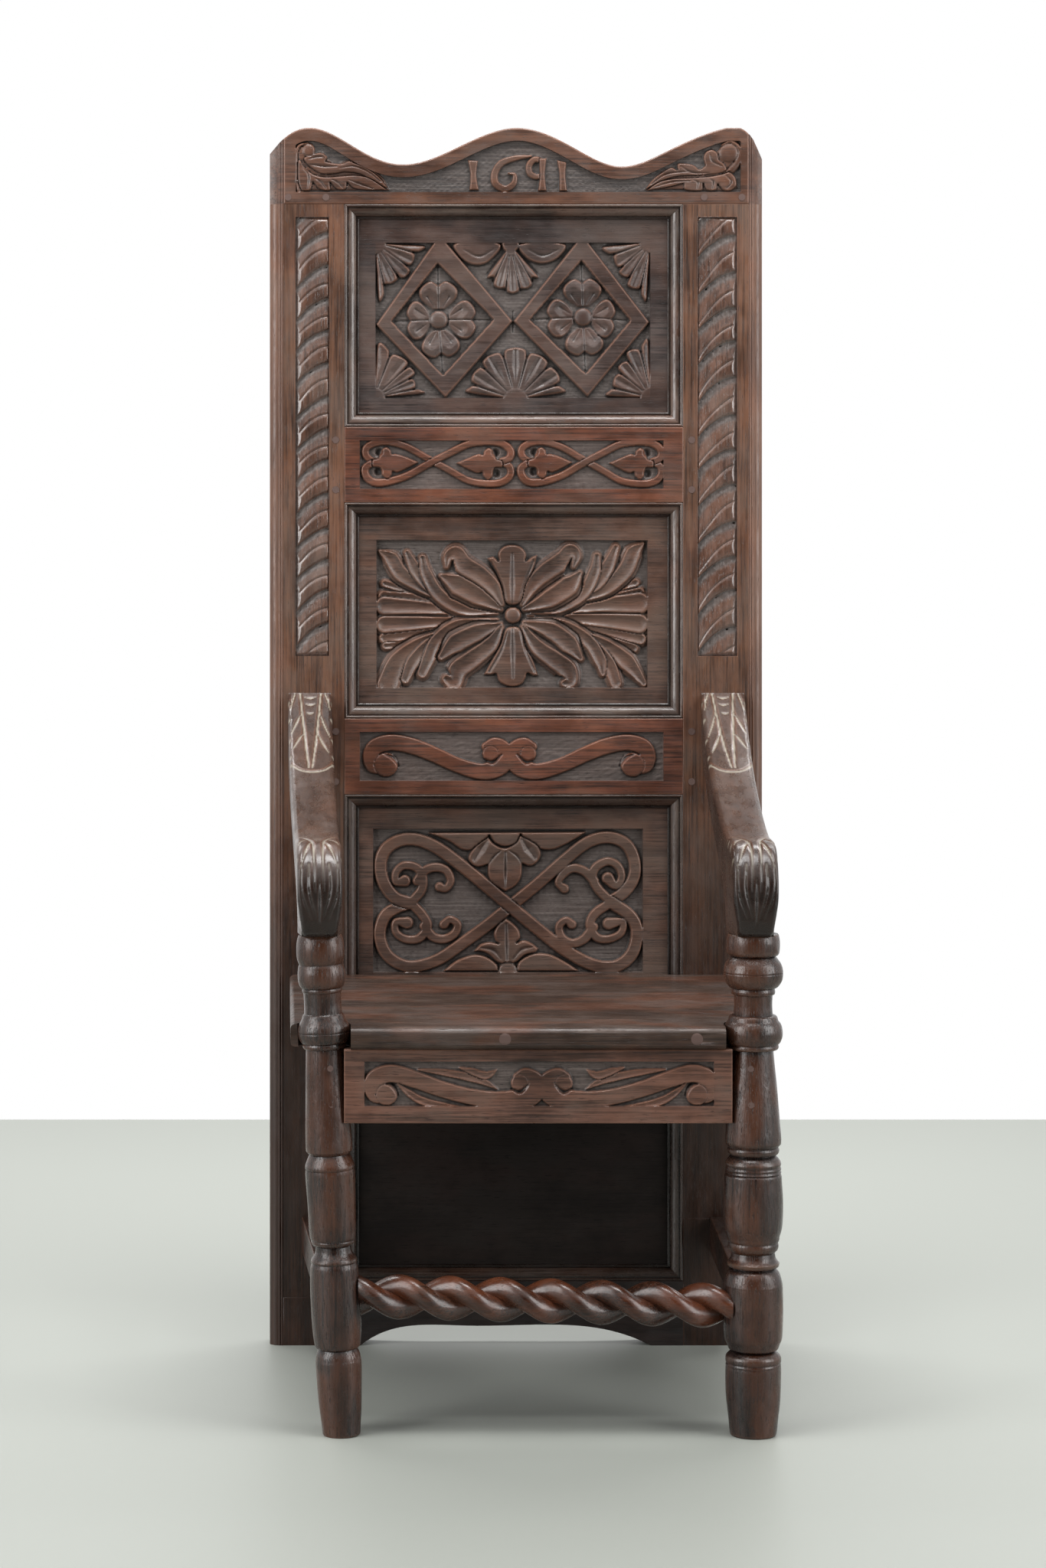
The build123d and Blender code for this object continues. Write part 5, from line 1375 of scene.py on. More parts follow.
@dataclass
class LowerPanel(CarvedPanel):
    """Crossed straps whose looped ends hold scrolls, with a bud above and a plant below."""

    strap: float = 15.5

    def carve(self, relief: Relief) -> None:
        """Cuts the bud and the plant, then the straps, then the scrolls that grow from them.

        Args:
            relief: the field.
        """
        relief.shape([(-106, 597, 1), (-80, 587), (-62, 576), (-48, 577), (-36, 585), (-31, 594, 1),
                      (-24, 584), (-12, 580), (0, 584), (6, 595, 1), (14, 584), (25, 578), (42, 576),
                      (60, 583), (85, 598, 1)], top=-0.5, swell=0.4)
        relief.shape([(-32, 592, 1), (-42, 585), (-52, 576), (-56, 566), (-50, 558), (-42, 556),
                      (-33, 559, 1), (-33, 549), (-30, 540), (-23, 534), (-12, 527, 1), (0, 534), (7, 545),
                      (8, 560, 1), (17, 557), (25, 561), (30, 570), (28, 579), (22, 585), (5, 594, 1),
                      (0, 585), (-13, 579), (-25, 584)], top=-0.2, swell=0.3)
        for valley, parting in (([(-33, 588), (-41, 577), (-48, 565)], [(-33, 558), (-26, 568), (-17, 576)]),
                                ([(8, 589), (15, 578), (23, 567)], [(8, 559), (2, 569), (-8, 576)])):
            relief.groove(valley, [8, 13, 7], 4.2)
            relief.groove(parting, [2, 4, 2], 2.4)
        relief.groove([(-12, 574), (-12, 531)], [2.5, 4, 1.5], 2.8)
        relief.shape([(-86, 434, 1), (-70, 447), (-50, 454), (-35, 452), (-22, 443), (-20, 434, 1)],
                     top=-0.6, swell=0.5)
        relief.shape([(1, 434, 1), (3, 445), (14, 453), (26, 456), (42, 454), (60, 445), (76, 434, 1)],
                     top=-0.6, swell=0.5)
        relief.shape([(-11, 497, 1), (-21, 489), (-26, 479), (-24, 470), (-20, 467, 1), (-31, 469),
                      (-42, 466), (-50, 457, 1), (-40, 457), (-31, 453), (-22, 445), (-10, 442), (1, 445),
                      (11, 453), (23, 456), (27, 461, 1), (20, 467), (10, 471), (1, 468, 1), (6, 474),
                      (4, 483), (-2, 490)], swell=0.3)
        relief.groove([(-11, 490), (-10, 447)], [3, 5, 3], 2.6)
        relief.groove([(-40, 462), (-26, 459), (-17, 449)], [3, 6, 3], 2.4)
        relief.groove([(20, 463), (7, 460), (-3, 449)], [3, 6, 3], 2.4)
        relief.boss((-9, 434), 11.5, top=-0.3, low=-3.6)
        rising = [(-8, 509), (25, 536), (58, 565), (84, 585), (108, 591), (128, 584), (138, 567), (139, 547),
                  (129, 529), (112, 516)]
        falling_left = [(-8, 509), (-31, 490), (-61, 468), (-93, 447), (-125, 440), (-149, 452), (-159, 475),
                        (-154, 497), (-141, 508), (-124, 514)]
        over = [(-124, 514), (-142, 521), (-155, 540), (-158, 562), (-149, 580), (-127, 589), (-100, 583),
                (-67, 561), (-8, 512), (27, 483), (58, 459), (90, 442), (117, 440), (136, 455), (142, 480),
                (134, 499), (112, 515)]
        for under in (rising, falling_left):
            relief.stroke(under, [self.strap], top=-0.5)
        relief.stroke(over, [self.strap], top=-0.3, low=-3.4)
        # Each scroll: its line, the middle of its eye and the eye's radius.
        curls = [
            ([(-122, 515), (-110, 530), (-109, 546), (-117, 556), (-131, 558), (-140, 550), (-140, 539)],
             (-130, 540), 7.6),
            ([(-115, 540), (-106, 552), (-93, 556), (-81, 552), (-76, 540), (-82, 531)], (-89, 533), 6.2),
            ([(-122, 514), (-109, 500), (-103, 487), (-113, 473), (-129, 472), (-140, 480), (-140, 492)],
             (-127, 491), 7.8),
            ([(-107, 487), (-97, 475), (-84, 472), (-72, 478), (-68, 489), (-77, 495)], (-84, 489), 6.0),
            ([(112, 515), (97, 530), (90, 544), (94, 556), (108, 563), (120, 557), (124, 544), (117, 534)],
             (108, 543), 7.8),
            ([(92, 540), (81, 551), (67, 555), (56, 548), (50, 538)], (57, 531), 6.2),
            ([(112, 515), (93, 502), (87, 488), (95, 474), (109, 472), (123, 479), (125, 492)], (109, 490),
             7.8),
            ([(91, 486), (80, 472), (66, 467), (54, 474), (51, 487), (59, 494)], (66, 489), 6.0),
        ]
        taper = (12.5, 12.5, 12, 12, 11.5, 11, 10.5, 10, 10)
        relief.grow([([*points, eye], [*taper, 2 * radius]) for points, eye, radius in curls])


def panel_board(bottom: float, top: float) -> Oblong:
    """The outline of a panel that fills one opening of the back."""
    return Oblong(INNER_LEFT + PANEL_GAP, INNER_RIGHT - PANEL_GAP, bottom + PANEL_GAP, top - PANEL_GAP)


PANELS = (
    UpperPanel("upper_panel", panel_board(UPPER_RAIL_TOP, CREST_JOINT),
               Oblong(-164.3, 157.6, 1105.0, 1287.0), seed=31, finish=UPPER_PANEL_OAK),
    MiddlePanel("middle_panel", panel_board(LOWER_RAIL_TOP, UPPER_RAIL_BOTTOM),
                Oblong(-163.0, 154.5, 766.0, 939.0), seed=32),
    LowerPanel("lower_panel", panel_board(SEAT_BOTTOM, LOWER_RAIL_BOTTOM),
               Oblong(-167.0, 149.0, 433.0, 601.5), seed=33),
)


# ---- mouldings round the panels ----
@dataclass(frozen=True)
class PanelMoulding:
    """Four mitred strips with a bead, an ovolo and a fillet, round one panel's opening."""

    node: str
    low: float  # edges of the opening
    high: float
    bead: float = 1.7  # radius
    quirk: float = 2.4  # depth between the bead and the ovolo
    quirk_width: float = 1.0
    ovolo_width: float = 9.4
    ovolo_depth: float = 7.6
    fillet: float = 10.3  # depth
    width: float = 17.0
    foot: float = 13.0
    steps: int = 14

    def section(self) -> list[Point]:
        """The strips' outline.

        Returns:
            Distances in from the opening's edge and back from the face.
        """
        bead = [(self.bead * (1 - math.cos(a)), self.bead * (1 - math.sin(a)))
                for a in np.linspace(0, math.pi, 9)]
        start = 2 * self.bead + self.quirk_width
        ovolo = [(start + self.ovolo_width * math.sin(a), self.quirk + self.ovolo_depth * (1 - math.cos(a)))
                 for a in np.linspace(0, math.pi / 2, 11)]
        end = start + self.ovolo_width
        fillet = [(end, 10.6), (end + 0.8, self.fillet), (self.width - 0.8, self.fillet), (self.width, 11.0)]
        return [(0.0, self.foot), *bead, (2 * self.bead, self.quirk), *ovolo, *fillet,
                (self.width, self.foot)]

    def strip(self, bm: Mesh, start: Point, along: Point, inwards: Point, length: float) -> None:
        """Runs one strip, mitred at both ends.

        Args:
            bm: the mesh that gets it.
            start: the corner of the opening that it starts from.
            along: the way that it runs.
            inwards: the way to the panel.
            length: its length along the opening's edge.
        """
        painted_shade = bm.verts.layers.float.get("painted_shade") or bm.verts.layers.float.new("painted_shade")
        face = bm.faces.new([bm.verts.new((start[0] + (along[0] + inwards[0]) * across, FACE_Y + sunk,
                                           start[1] + (along[1] + inwards[1]) * across))
                             for across, sunk in self.section()])
        for vert in face.verts:
            sunk = vert.co.y - FACE_Y
            # The quirk and the deep fillet of the moulding get painted shade.
            hidden = sunk > self.quirk + self.ovolo_depth - 0.5 or abs(sunk - self.quirk) < 0.05
            vert[painted_shade] = 0.9 if hidden else 0.0
        for step in range(1, self.steps + 1):
            grown = bmesh.ops.extrude_face_region(bm, geom=[face])
            face = next(item for item in grown["geom"] if isinstance(item, bmesh.types.BMFace))
            for vert in moved(grown):
                across = (vert.co.x - start[0]) * inwards[0] + (vert.co.z - start[1]) * inwards[1]
                reach = across + (length - 2 * across) * step / self.steps
                vert.co.x = start[0] + along[0] * reach + inwards[0] * across
                vert.co.z = start[1] + along[1] * reach + inwards[1] * across

    def build(self) -> None:
        """Builds the strips that lie across as one piece and the upright ones as another, for their grain and
        for the painted highlight on the upright ones.
        """
        gap = 0.05
        left, right = INNER_LEFT + gap, INNER_RIGHT - gap
        rails, uprights = bmesh.new(), bmesh.new()
        self.strip(rails, (left, self.low), (1, 0), (0, 1), right - left)
        self.strip(rails, (right, self.high), (-1, 0), (0, -1), right - left)
        self.strip(uprights, (right, self.low), (0, 1), (-1, 0), self.high - self.low)
        self.strip(uprights, (left, self.high), (0, -1), (1, 0), self.high - self.low)
        for strips, word, finish in ((rails, "rails", MOULDING_OAK),
                                     (uprights, "uprights", MOULDING_UPRIGHT_HIGHLIGHT_OAK)):
            finish_piece(strips, f"{self.node}_moulding_{word}", finish, [f"{self.node}_moulding"], angle=38)


# ---- stiles ----
@dataclass(frozen=True)
class StileChannel:
    """The strip of slanting gouge cuts sunk in a stile."""

    side: Side
    outer: float  # distance of its outer edge from the middle of the chair
    width: float
    pitch: float
    thin_fall: float  # how far the thin lines fall towards the left edge
    thin_bend: float
    deep_share: float  # place of the deep line under the thin one at the right edge, as a share of the pitch
    deep_fall: float
    deep_bend: float
    ramps: Point  # widths of the bevels at its left and right edges
    low: float = 804.1
    high: float = 1315.9
    end_ramp: float = 5.0
    depth: float = 3.8
    cell: float = 0.9
    # Section of one cut from a thin line down to the next: places, and heights under the stile's face.
    places: tuple[float, ...] = (0.0, 0.03, 0.11, 0.25, 0.40, 0.50, 0.57, 0.75, 0.96, 1.0)
    heights: tuple[float, ...] = (-2.2, -1.2, -0.15, -0.2, -1.0, -3.9, -3.7, -2.3, -0.9, -2.2)

    def plan(self) -> Oblong:
        """The channel's outline."""
        ends = sorted((self.side.value * self.outer, self.side.value * (self.outer - self.width)))
        return Oblong(ends[0] + 0.1, ends[1] - 0.1, self.low, self.high)

    def carve(self, relief: Relief) -> None:
        """Cuts the channel's whole surface.

        Args:
            relief: the channel.
        """
        plan = self.plan()
        back = 1 - (relief.x - plan.left) / (plan.right - plan.left)
        wobble = 1.5 * np.sin(relief.z * 0.045) + 0.8 * np.sin(relief.z * 0.13)
        thin = self.thin_fall * back**self.thin_bend
        deep = self.deep_share * self.pitch + self.deep_fall * back**self.deep_bend
        under = ((plan.top - relief.z + wobble - thin) / self.pitch) % 1.0
        split = (deep - thin) / self.pitch
        phase = np.where(under < split, 0.5 * under / split, 0.5 + 0.5 * (under - split) / (1 - split))
        relief.height = np.interp(phase, self.places, self.heights)
        for gap, ramp in ((relief.x - plan.left, self.ramps[0]), (plan.right - relief.x, self.ramps[1]),
                          (relief.z - plan.bottom, self.end_ramp), (plan.top - relief.z, self.end_ramp)):
            relief.height = np.minimum(relief.height, -self.depth + self.depth * np.clip(gap / ramp, 0, 1))

    def build(self) -> None:
        """Builds the carving, which lies on the channel's floor."""
        plan = self.plan()
        bm = carved_board(plan, plan, FACE_Y, FACE_Y + 4.0, self.depth, self.cell, self.carve,
                          seed=41 + self.side.value, edge=0.05, flush=False)
        finish_piece(bm, f"{self.side.word}_channel_carving", CHANNEL_OAK, angle=60)


@dataclass
class Stiles:
    """The two back stiles, each with its spliced foot and its carved channel."""

    wear: float = 0.9
    reed: float = 3.5  # strips narrower than this get a painted highlight
    channels: tuple[StileChannel, ...] = (
        StileChannel(Side.LEFT, outer=HALF_WIDTH - 30.0, width=39.0, pitch=38.0, thin_fall=28.6,
                     thin_bend=1.9, deep_share=0.50, deep_fall=26.0, deep_bend=1.6, ramps=(7.0, 1.2)),
        StileChannel(Side.RIGHT, outer=HALF_WIDTH - 30.0, width=46.0, pitch=41.5, thin_fall=43.0,
                     thin_bend=1.65, deep_share=0.54, deep_fall=27.0, deep_bend=2.0, ramps=(1.2, 6.0)),
    )

    def build(self) -> None:
        """Builds the stiles."""
        for side in Side:
            for part in ("back_stile", "stile_foot"):
                worn_node(f"{side.word}_{part}", STILE_OAK, self.wear, self.reed)
        for channel in self.channels:
            channel.build()


@dataclass
class BackFrame:
    """Everything in the back: crest, stiles, rails, panels, mouldings and pegs."""

    mouldings: tuple[PanelMoulding, ...] = (
        PanelMoulding("upper_panel", UPPER_RAIL_TOP, CREST_JOINT),
        PanelMoulding("middle_panel", LOWER_RAIL_TOP, UPPER_RAIL_BOTTOM),
        PanelMoulding("lower_panel", SEAT_BOTTOM, LOWER_RAIL_BOTTOM),
        PanelMoulding("base_panel", BOTTOM_RAIL_TOP, SEAT_RAIL_BOTTOM),
    )

    def build(self) -> None:
        """Builds the pieces in order from the top."""
        for part in (CrestRail(), UPPER_RAIL, LOWER_RAIL, *PANELS, *self.mouldings, Stiles()):
            part.build()
        for node in ("seat_back_rail", "bottom_back_rail"):
            worn_node(node, LOW_RAIL_OAK)
        dress_node("base_panel", BASE_PANEL_OAK)
        for node in ("back_frame_pegs", "crest_pegs", "seat_frame_pegs"):
            dress_node(node, PEG_OAK)


# ---- front legs ----
@dataclass
class TurnedLeg:
    """A front leg turned on a pole lathe, so its roundness isn't perfect."""

    side: Side
    foot_x: float
    lean: float  # how far it leans in at the seat
    profile: tuple[Point, ...]  # heights and radii
    around: int = 96
    spread: int = 6  # samples on each side that a radius is compared with, to find quirks and rounds

    def build(self) -> None:
        """Spins the leg's outline."""
        line, _ = smooth_line(self.profile, step=1.6)
        window = 2 * self.spread + 1
        smooth = np.convolve(np.pad(line[:, 1], self.spread, mode="edge"), np.ones(window) / window,
                             mode="valid")
        # Quirks, where the radius dips below its neighbours, get painted shade.
        quirk_shade_at, crown_at = ease((smooth - line[:, 1] - 0.3) / 2.0), ease((line[:, 1] - smooth - 0.3) / 2.0)
        bm = bmesh.new()
        painted_shade, crown = (bm.verts.layers.float.new(word) for word in ("painted_shade", "crown"))
        column = [bm.verts.new((max(r, 0.0), 0, z)) for z, r in line]
        edges = [bm.edges.new(pair) for pair in zip(column[:-1], column[1:])]
        bmesh.ops.spin(bm, geom=column + edges, cent=(0, 0, 0), axis=(0, 0, 1), angle=math.tau,
                       steps=self.around, use_merge=True)
        bmesh.ops.remove_doubles(bm, verts=bm.verts, dist=0.001)
        for vert in bm.verts:
            vert[painted_shade] = float(np.interp(vert.co.z, line[:, 0], quirk_shade_at))
            vert[crown] = float(np.interp(vert.co.z, line[:, 0], crown_at))
            turn = math.atan2(vert.co.y, vert.co.x)
            uneven = (1 + 0.006 * math.sin(2 * turn + vert.co.z * 0.02)
                      + 0.003 * math.sin(5 * turn + vert.co.z * 0.11))
            vert.co.x *= uneven
            vert.co.y *= uneven
        angle = math.atan2(self.lean, SEAT_TOP) * self.side.value
        stand = Matrix.Translation((self.foot_x, LEG_Y, 0)) @ Matrix.Rotation(angle, 4, "Y")
        bmesh.ops.transform(bm, matrix=stand, verts=bm.verts)
        for vert in bm.verts:
            vert.co.z = min(max(vert.co.z, 0.0), LEG_TOP)
        finish_piece(bm, f"{self.side.word}_leg_turned", LEG_OAK, [f"{self.side.word}_front_leg"], angle=45,
                     even=False)


RIGHT_TURNING = (
    (0, 0, 1), (0, 23.2, 1), (1.5, 24.6), (18, 26.3), (42, 28.7), (70.7, 29.1), (72.3, 28.2, 1),
    (73.6, 29.1), (76.4, 28.3, 1), (77.6, 29.1), (82.8, 28.7), (86.5, 25.5), (89.3, 21.6, 1), (90.6, 25.6),
    (94.2, 27.1, 1), (97, 28.2), (103, 30.3), (123, 31.1), (155.5, 31.1), (156.8, 30.3, 1), (158, 31.0),
    (170, 27.9), (175.7, 23.4, 1), (178, 26.8), (181.4, 27.5, 1), (186, 24), (192, 22.6, 1), (196, 25.8),
    (200, 26.7), (203, 25.9, 1), (205, 27.2), (208, 27.5, 1), (220, 30.7), (240, 31.5), (268.6, 30.3),
    (274, 29.8), (275.3, 28.7, 1), (276.8, 29.8), (278.8, 28.8, 1), (280.4, 29.7), (282.8, 28.7, 1),
    (286.4, 29.5), (291, 27), (294.5, 23.4, 1), (297, 26.6), (301, 27.3), (303, 26.3, 1), (305, 27.6),
    (309, 29.5), (327.6, 28.3), (366, 24.8), (405.6, 21.0, 1), (406.4, 25.4), (409, 26.7), (411.5, 25.8, 1),
    (412.6, 27.4), (418, 30.0), (424.5, 30.7), (432, 29.4), (436.8, 26.2, 1), (438.4, 25.8), (441.5, 24.4),
    (442.6, 20.4, 1), (453, 20.0), (463.6, 20.4, 1), (464.6, 22.6), (467.6, 23.0), (470.3, 22.4, 1),
    (472.5, 26.2), (479, 30.3), (486.2, 31.4), (487.2, 30.8, 1), (488.4, 31.4), (496, 29.6), (503.2, 24.6),
    (504.8, 23.4, 1), (506.0, 26.4), (510, 27.9), (520, 28.1), (527, 26.8), (528, 25.8, 1), (528, 0, 1),
)
LEFT_TURNING = (
    (0, 0, 1), (0, 19.2, 1), (1.5, 20.0), (10, 20.6), (34, 22.6), (72, 24.2), (80.4, 23.8), (86, 22.6),
    (90.9, 20.4, 1), (93, 23.0), (99, 24.6), (123, 26.3), (155.5, 26.3), (172, 25.6), (178, 25.0),
    (181.4, 24.0, 1), (183, 24.6), (186, 23.8), (192, 20.0), (199, 18.6, 1), (201, 21.8), (204, 23.4),
    (205.6, 22.9, 1), (208, 24.2), (222, 25.2), (244, 25.5), (277, 26.3), (279.8, 25.2, 1), (281.2, 26.1),
    (284.8, 25.9), (291, 23.6), (296, 21.2, 1), (299, 23.4), (305, 24.6), (350, 22.6), (407, 19.8, 1),
    (408, 22.0), (410.6, 23.0), (413.2, 22.2, 1), (414.4, 24.4), (419, 26.6), (424, 27.4), (425, 26.9, 1),
    (426, 27.4), (432, 26.4), (438, 23.2, 1), (439.4, 22.6), (443, 21.4), (444.6, 19.9, 1), (455, 19.6),
    (466.6, 19.9, 1), (467.4, 20.8), (469.6, 21.2), (471.2, 20.6, 1), (473, 23.0), (479, 24.9), (487, 25.1),
    (494.6, 24.0, 1), (496.5, 22.9, 1), (498.5, 23.8, 1), (504, 25.2), (513, 25.4), (521, 24.6),
    (526.5, 23.0), (528, 22.0, 1), (528, 0, 1),
)


# ---- the twisted stretcher ----
@dataclass
class TwistStretcher:
    """A double barley twist between the front legs."""

    left: Point = (-188.0, 146.0)  # X and Z of its ends
    right: Point = (205.5, 135.2)
    offset: float = 10.2  # of each strand's middle from the stretcher's
    strand: float = 13.2  # radius
    lead: float = 106.6
    start: float = 20.0  # degrees
    around: int = 72
    step: float = 2.2

    def radius(self, turn: float) -> float:
        """Reach of the twist's section, which is two discs side by side.

        Args:
            turn: the direction, in radians.

        Returns:
            The reach.
        """
        along = abs(math.cos(turn)) * self.offset
        across = math.sin(turn) * self.offset
        return along + math.sqrt(self.strand**2 - across**2)

    def build(self) -> None:
        """Runs the twist's section along its length, turning it as it goes."""
        run = Vector((self.right[0] - self.left[0], 0, self.right[1] - self.left[1]))
        steps = round(run.length / self.step)
        bm = bmesh.new()
        ring = bmesh.ops.create_circle(bm, segments=self.around, radius=1.0, cap_ends=False)["verts"]
        for vert in ring:
            turn = math.atan2(vert.co.y, vert.co.x)
            vert.co *= self.radius(turn)
        bmesh.ops.rotate(bm, cent=(0, 0, 0), matrix=Matrix.Rotation(math.radians(self.start), 3, "Z"),
                         verts=ring)
        edges = list(bm.edges)
        bmesh.ops.contextual_create(bm, geom=edges)
        turn_each = Matrix.Rotation(math.tau * run.length / self.lead / steps, 3, "Z")
        for _ in range(steps):
            grown = bmesh.ops.extrude_edge_only(bm, edges=edges)
            verts = moved(grown)
            edges = [item for item in grown["geom"] if isinstance(item, bmesh.types.BMEdge)]
            bmesh.ops.translate(bm, vec=(0, 0, run.length / steps), verts=verts)
            bmesh.ops.rotate(bm, cent=(0, 0, 0), matrix=turn_each, verts=verts)
        bmesh.ops.contextual_create(bm, geom=edges)
        axis = run.normalized()
        up = (Vector((0, 0, 1)) - axis * axis.z).normalized()
        turned = Matrix((up, axis.cross(up), axis)).transposed().to_4x4()
        place = Matrix.Translation((self.left[0], LEG_Y, self.left[1])) @ turned
        bmesh.ops.transform(bm, matrix=place, verts=bm.verts)
        finish_piece(bm, "front_stretcher_twist", TWIST_OAK, ["front_stretcher"], angle=50, even=False)


# ---- arms ----
@dataclass
class Arm:
    """An arm that drops from the stile and rolls over the leg, with leaves cut at both ends."""

    side: Side
    across: int = 44
    along: int = 360
    back_width: float = 51.0
    front_width: float = 47.0
    back_x: float = 241.0  # its middle, from the middle of the chair
    front_x: float = 228.0
    front_y: float = -237.0
    roll: float = 50.0  # radius of the scroll
    centre_y: float = -187.0
    centre_z: float = 575.0
    tuck: float = 48.0  # length over which the scroll's end narrows
    edge: float = 5.0  # how far its upper edges are rounded
    rear_leaf: float = 157.0  # places along it where the carving at the stile ends and at the scroll starts
    front_leaf: float = 377.0
    # The sides and the underside: shares of its half width, and of the way down from the top.
    skirt: tuple[Point, ...] = ((1, 0.15), (1, 1), (0.33, 1), (-0.33, 1), (-1, 1), (-1, 0.5), (-1, 0.15))

    def top_line(self) -> Array:
        """The line along the arm's top and round its scroll.

        Returns:
            Places on it, as Y and Z.
        """
        drop = [(205.0, 761.0), (142.3, 714.8), (63.9, 676.7), (-38.0, 644.0), (-124.3, 627.0),
                (-187.0, 625.0)]
        upper, _ = smooth_line(drop, step=2.0)
        arc = [(self.centre_y - self.roll * math.sin(a), self.centre_z + self.roll * math.cos(a))
               for a in np.linspace(0, math.pi / 2, 30)]
        tuck = [(-236.5, 560.0), (-234.5, 545.0), (-230.0, 532.0), (-226.0, 528.2)]
        return np.vstack([upper, arc[1:], tuck])

    def under_line(self) -> Array:
        """The line along its underside, which ends flat on the leg.

        Returns:
            Places on it, as Y and Z.
        """
        rise = 700.0 - LEG_TOP
        drop = [(205.0, 700.0), (103.1, LEG_TOP + 0.68 * rise), (-22.4, LEG_TOP + 0.43 * rise),
                (-124.3, LEG_TOP + 0.21 * rise), (-161.0, LEG_TOP, 1), (-192.0, LEG_TOP), (-224.0, LEG_TOP)]
        line, _ = smooth_line(drop, step=2.0)
        return line

    def lengths(self, line: Array) -> Array:
        """Distance along a line at each of its places."""
        return np.concatenate([[0], np.cumsum(np.hypot(*np.diff(line, axis=0).T))])

    def spaced(self, line: Array) -> Array:
        """A line sampled again at even steps.

        Args:
            line: places on it.

        Returns:
            As many places as the arm has along it.
        """
        lengths = self.lengths(line)
        goals = np.linspace(0, lengths[-1], self.along + 1)
        return np.stack([np.interp(goals, lengths, line[:, k]) for k in (0, 1)], axis=1)

    def carve(self, relief: Relief) -> None:
        """Cuts the leaves.

        Args:
            relief: the top. X is the distance along the arm and Z the place across it, from its middle.
        """
        s, t = relief.x, relief.z
        ground = -1.5
        rear = ease((self.rear_leaf - 22 * (np.abs(t) / 25.0)**2.5 - s) / 2.5)
        front = ease((s - self.front_leaf - 5 * np.cos(t * 0.25)) / 3.0)
        relief.height[:] = -ground * rear + 1.3 * front + ground
        # The veins: a midrib and side veins at each end, the small nicks between them and the scroll's leaf.
        veins = [
            ([(2, -13), (60, -8), (148, 0)], [3.5, 4, 2.5]), ([(2, 11), (60, 8), (148, 4)], [3.5, 4, 2.5]),
            ([(34, -11), (58, -16), (80, -22)], [2, 3.2, 1.5]),
            ([(68, -7), (92, -13), (114, -20)], [2, 3.2, 1.5]),
            ([(36, 10), (52, 16), (72, 22)], [2, 3.2, 1.5]),
            ([(70, 7), (84, 14), (104, 21)], [2, 3.2, 1.5]),
            ([(2, -18), (14, -21), (30, -23)], [2, 3, 1.5]), ([(2, 17), (14, 20), (30, 23)], [2, 3, 1.5]),
            ([(7, -8), (10, -1), (7, 7)], [1, 2.6, 1]), ([(19, -7), (22, -1), (19, 6)], [1, 2.6, 1]),
            ([(34, -5), (37, 0), (34, 5)], [1, 2.4, 1]),
            ([(382, -22), (392, -12), (420, -6), (452, -4), (500, -4)], [2.5, 3.5, 3.5, 3, 2]),
            ([(382, 22), (392, 14), (420, 8), (452, 6), (500, 5)], [2.5, 3.5, 3.5, 3, 2]),
            ([(404, -8), (418, -15), (438, -21)], [2, 3, 1.5]),
            ([(430, -6), (448, -12), (470, -18)], [2, 3, 1.5]),
            ([(402, 11), (418, 17), (438, 22)], [2, 3, 1.5]),
            ([(428, 8), (450, 14), (472, 19)], [2, 3, 1.5]), ([(392, -4), (396, 1), (392, 6)], [1, 2.4, 1]),
            ([(402, -4), (406, 1), (402, 6)], [1, 2.4, 1]), ([(414, -3), (418, 1), (414, 5)], [1, 2.4, 1]),
            ([(470, -10), (500, -11), (530, -3)], [2, 3, 1.5]),
            ([(470, 11), (500, 11), (530, 3)], [2, 3, 1.5]), ([(486, 0), (510, 0), (534, 0)], [1, 3.4, 2]),
            ([(470, -19), (500, -19), (530, -9)], [2, 3, 1.5]),
            ([(470, 19), (500, 19), (530, 9)], [2, 3, 1.5]),
        ]
        for points, widths in veins:
            relief.groove(points, [width * 1.15 for width in widths], 1.8)
        for place in (16, 46, 84, 120, 400, 430, 462):
            for way in (-1, 1):
                relief.dish((place, way * 27.0), 6.0, 1.6)
        relief.dish((100, 1), 26, 0.8)

    def build(self) -> None:
        """Wraps the carved top, the flat sides and the underside round the arm's length."""
        top, under = self.spaced(self.top_line()), self.spaced(self.under_line())
        lengths = self.lengths(top)
        heading = np.gradient(top, axis=0)
        heading /= np.hypot(*heading.T)[:, None]
        out = np.stack([heading[:, 1], -heading[:, 0]], axis=1)
        share = (FACE_Y - top[:, 0]) / (FACE_Y - self.front_y)
        half = (self.back_width + (self.front_width - self.back_width) * share) / 2
        half *= 1 - 0.2 * ease((lengths - lengths[-1] + self.tuck) / self.tuck)
        middle = self.back_x + (self.front_x - self.back_x) * share
        t = np.linspace(-1, 1, self.across + 1)
        s_grid, t_grid = np.meshgrid(lengths, t)
        relief = Relief(s_grid, t_grid * half[None, :], 0.0)
        self.carve(relief)
        height = 0.6 * relief.height + 0.4 * blurred(relief.height, 1)
        around = blurred(height, 2)
        # On the arm the crease share lays pale old wax in the cut veins.
        crease = ease((around - height - 0.06) / 0.32)
        crown = ease((height - around - 0.05) / 0.4)
        past = np.clip((np.abs(relief.z) - (half[None, :] - self.edge)) / self.edge, 0, 1)
        height -= (1 - np.sqrt(np.clip(1 - past**2, 0, 1))) * self.edge
        height[:, 0] = 0
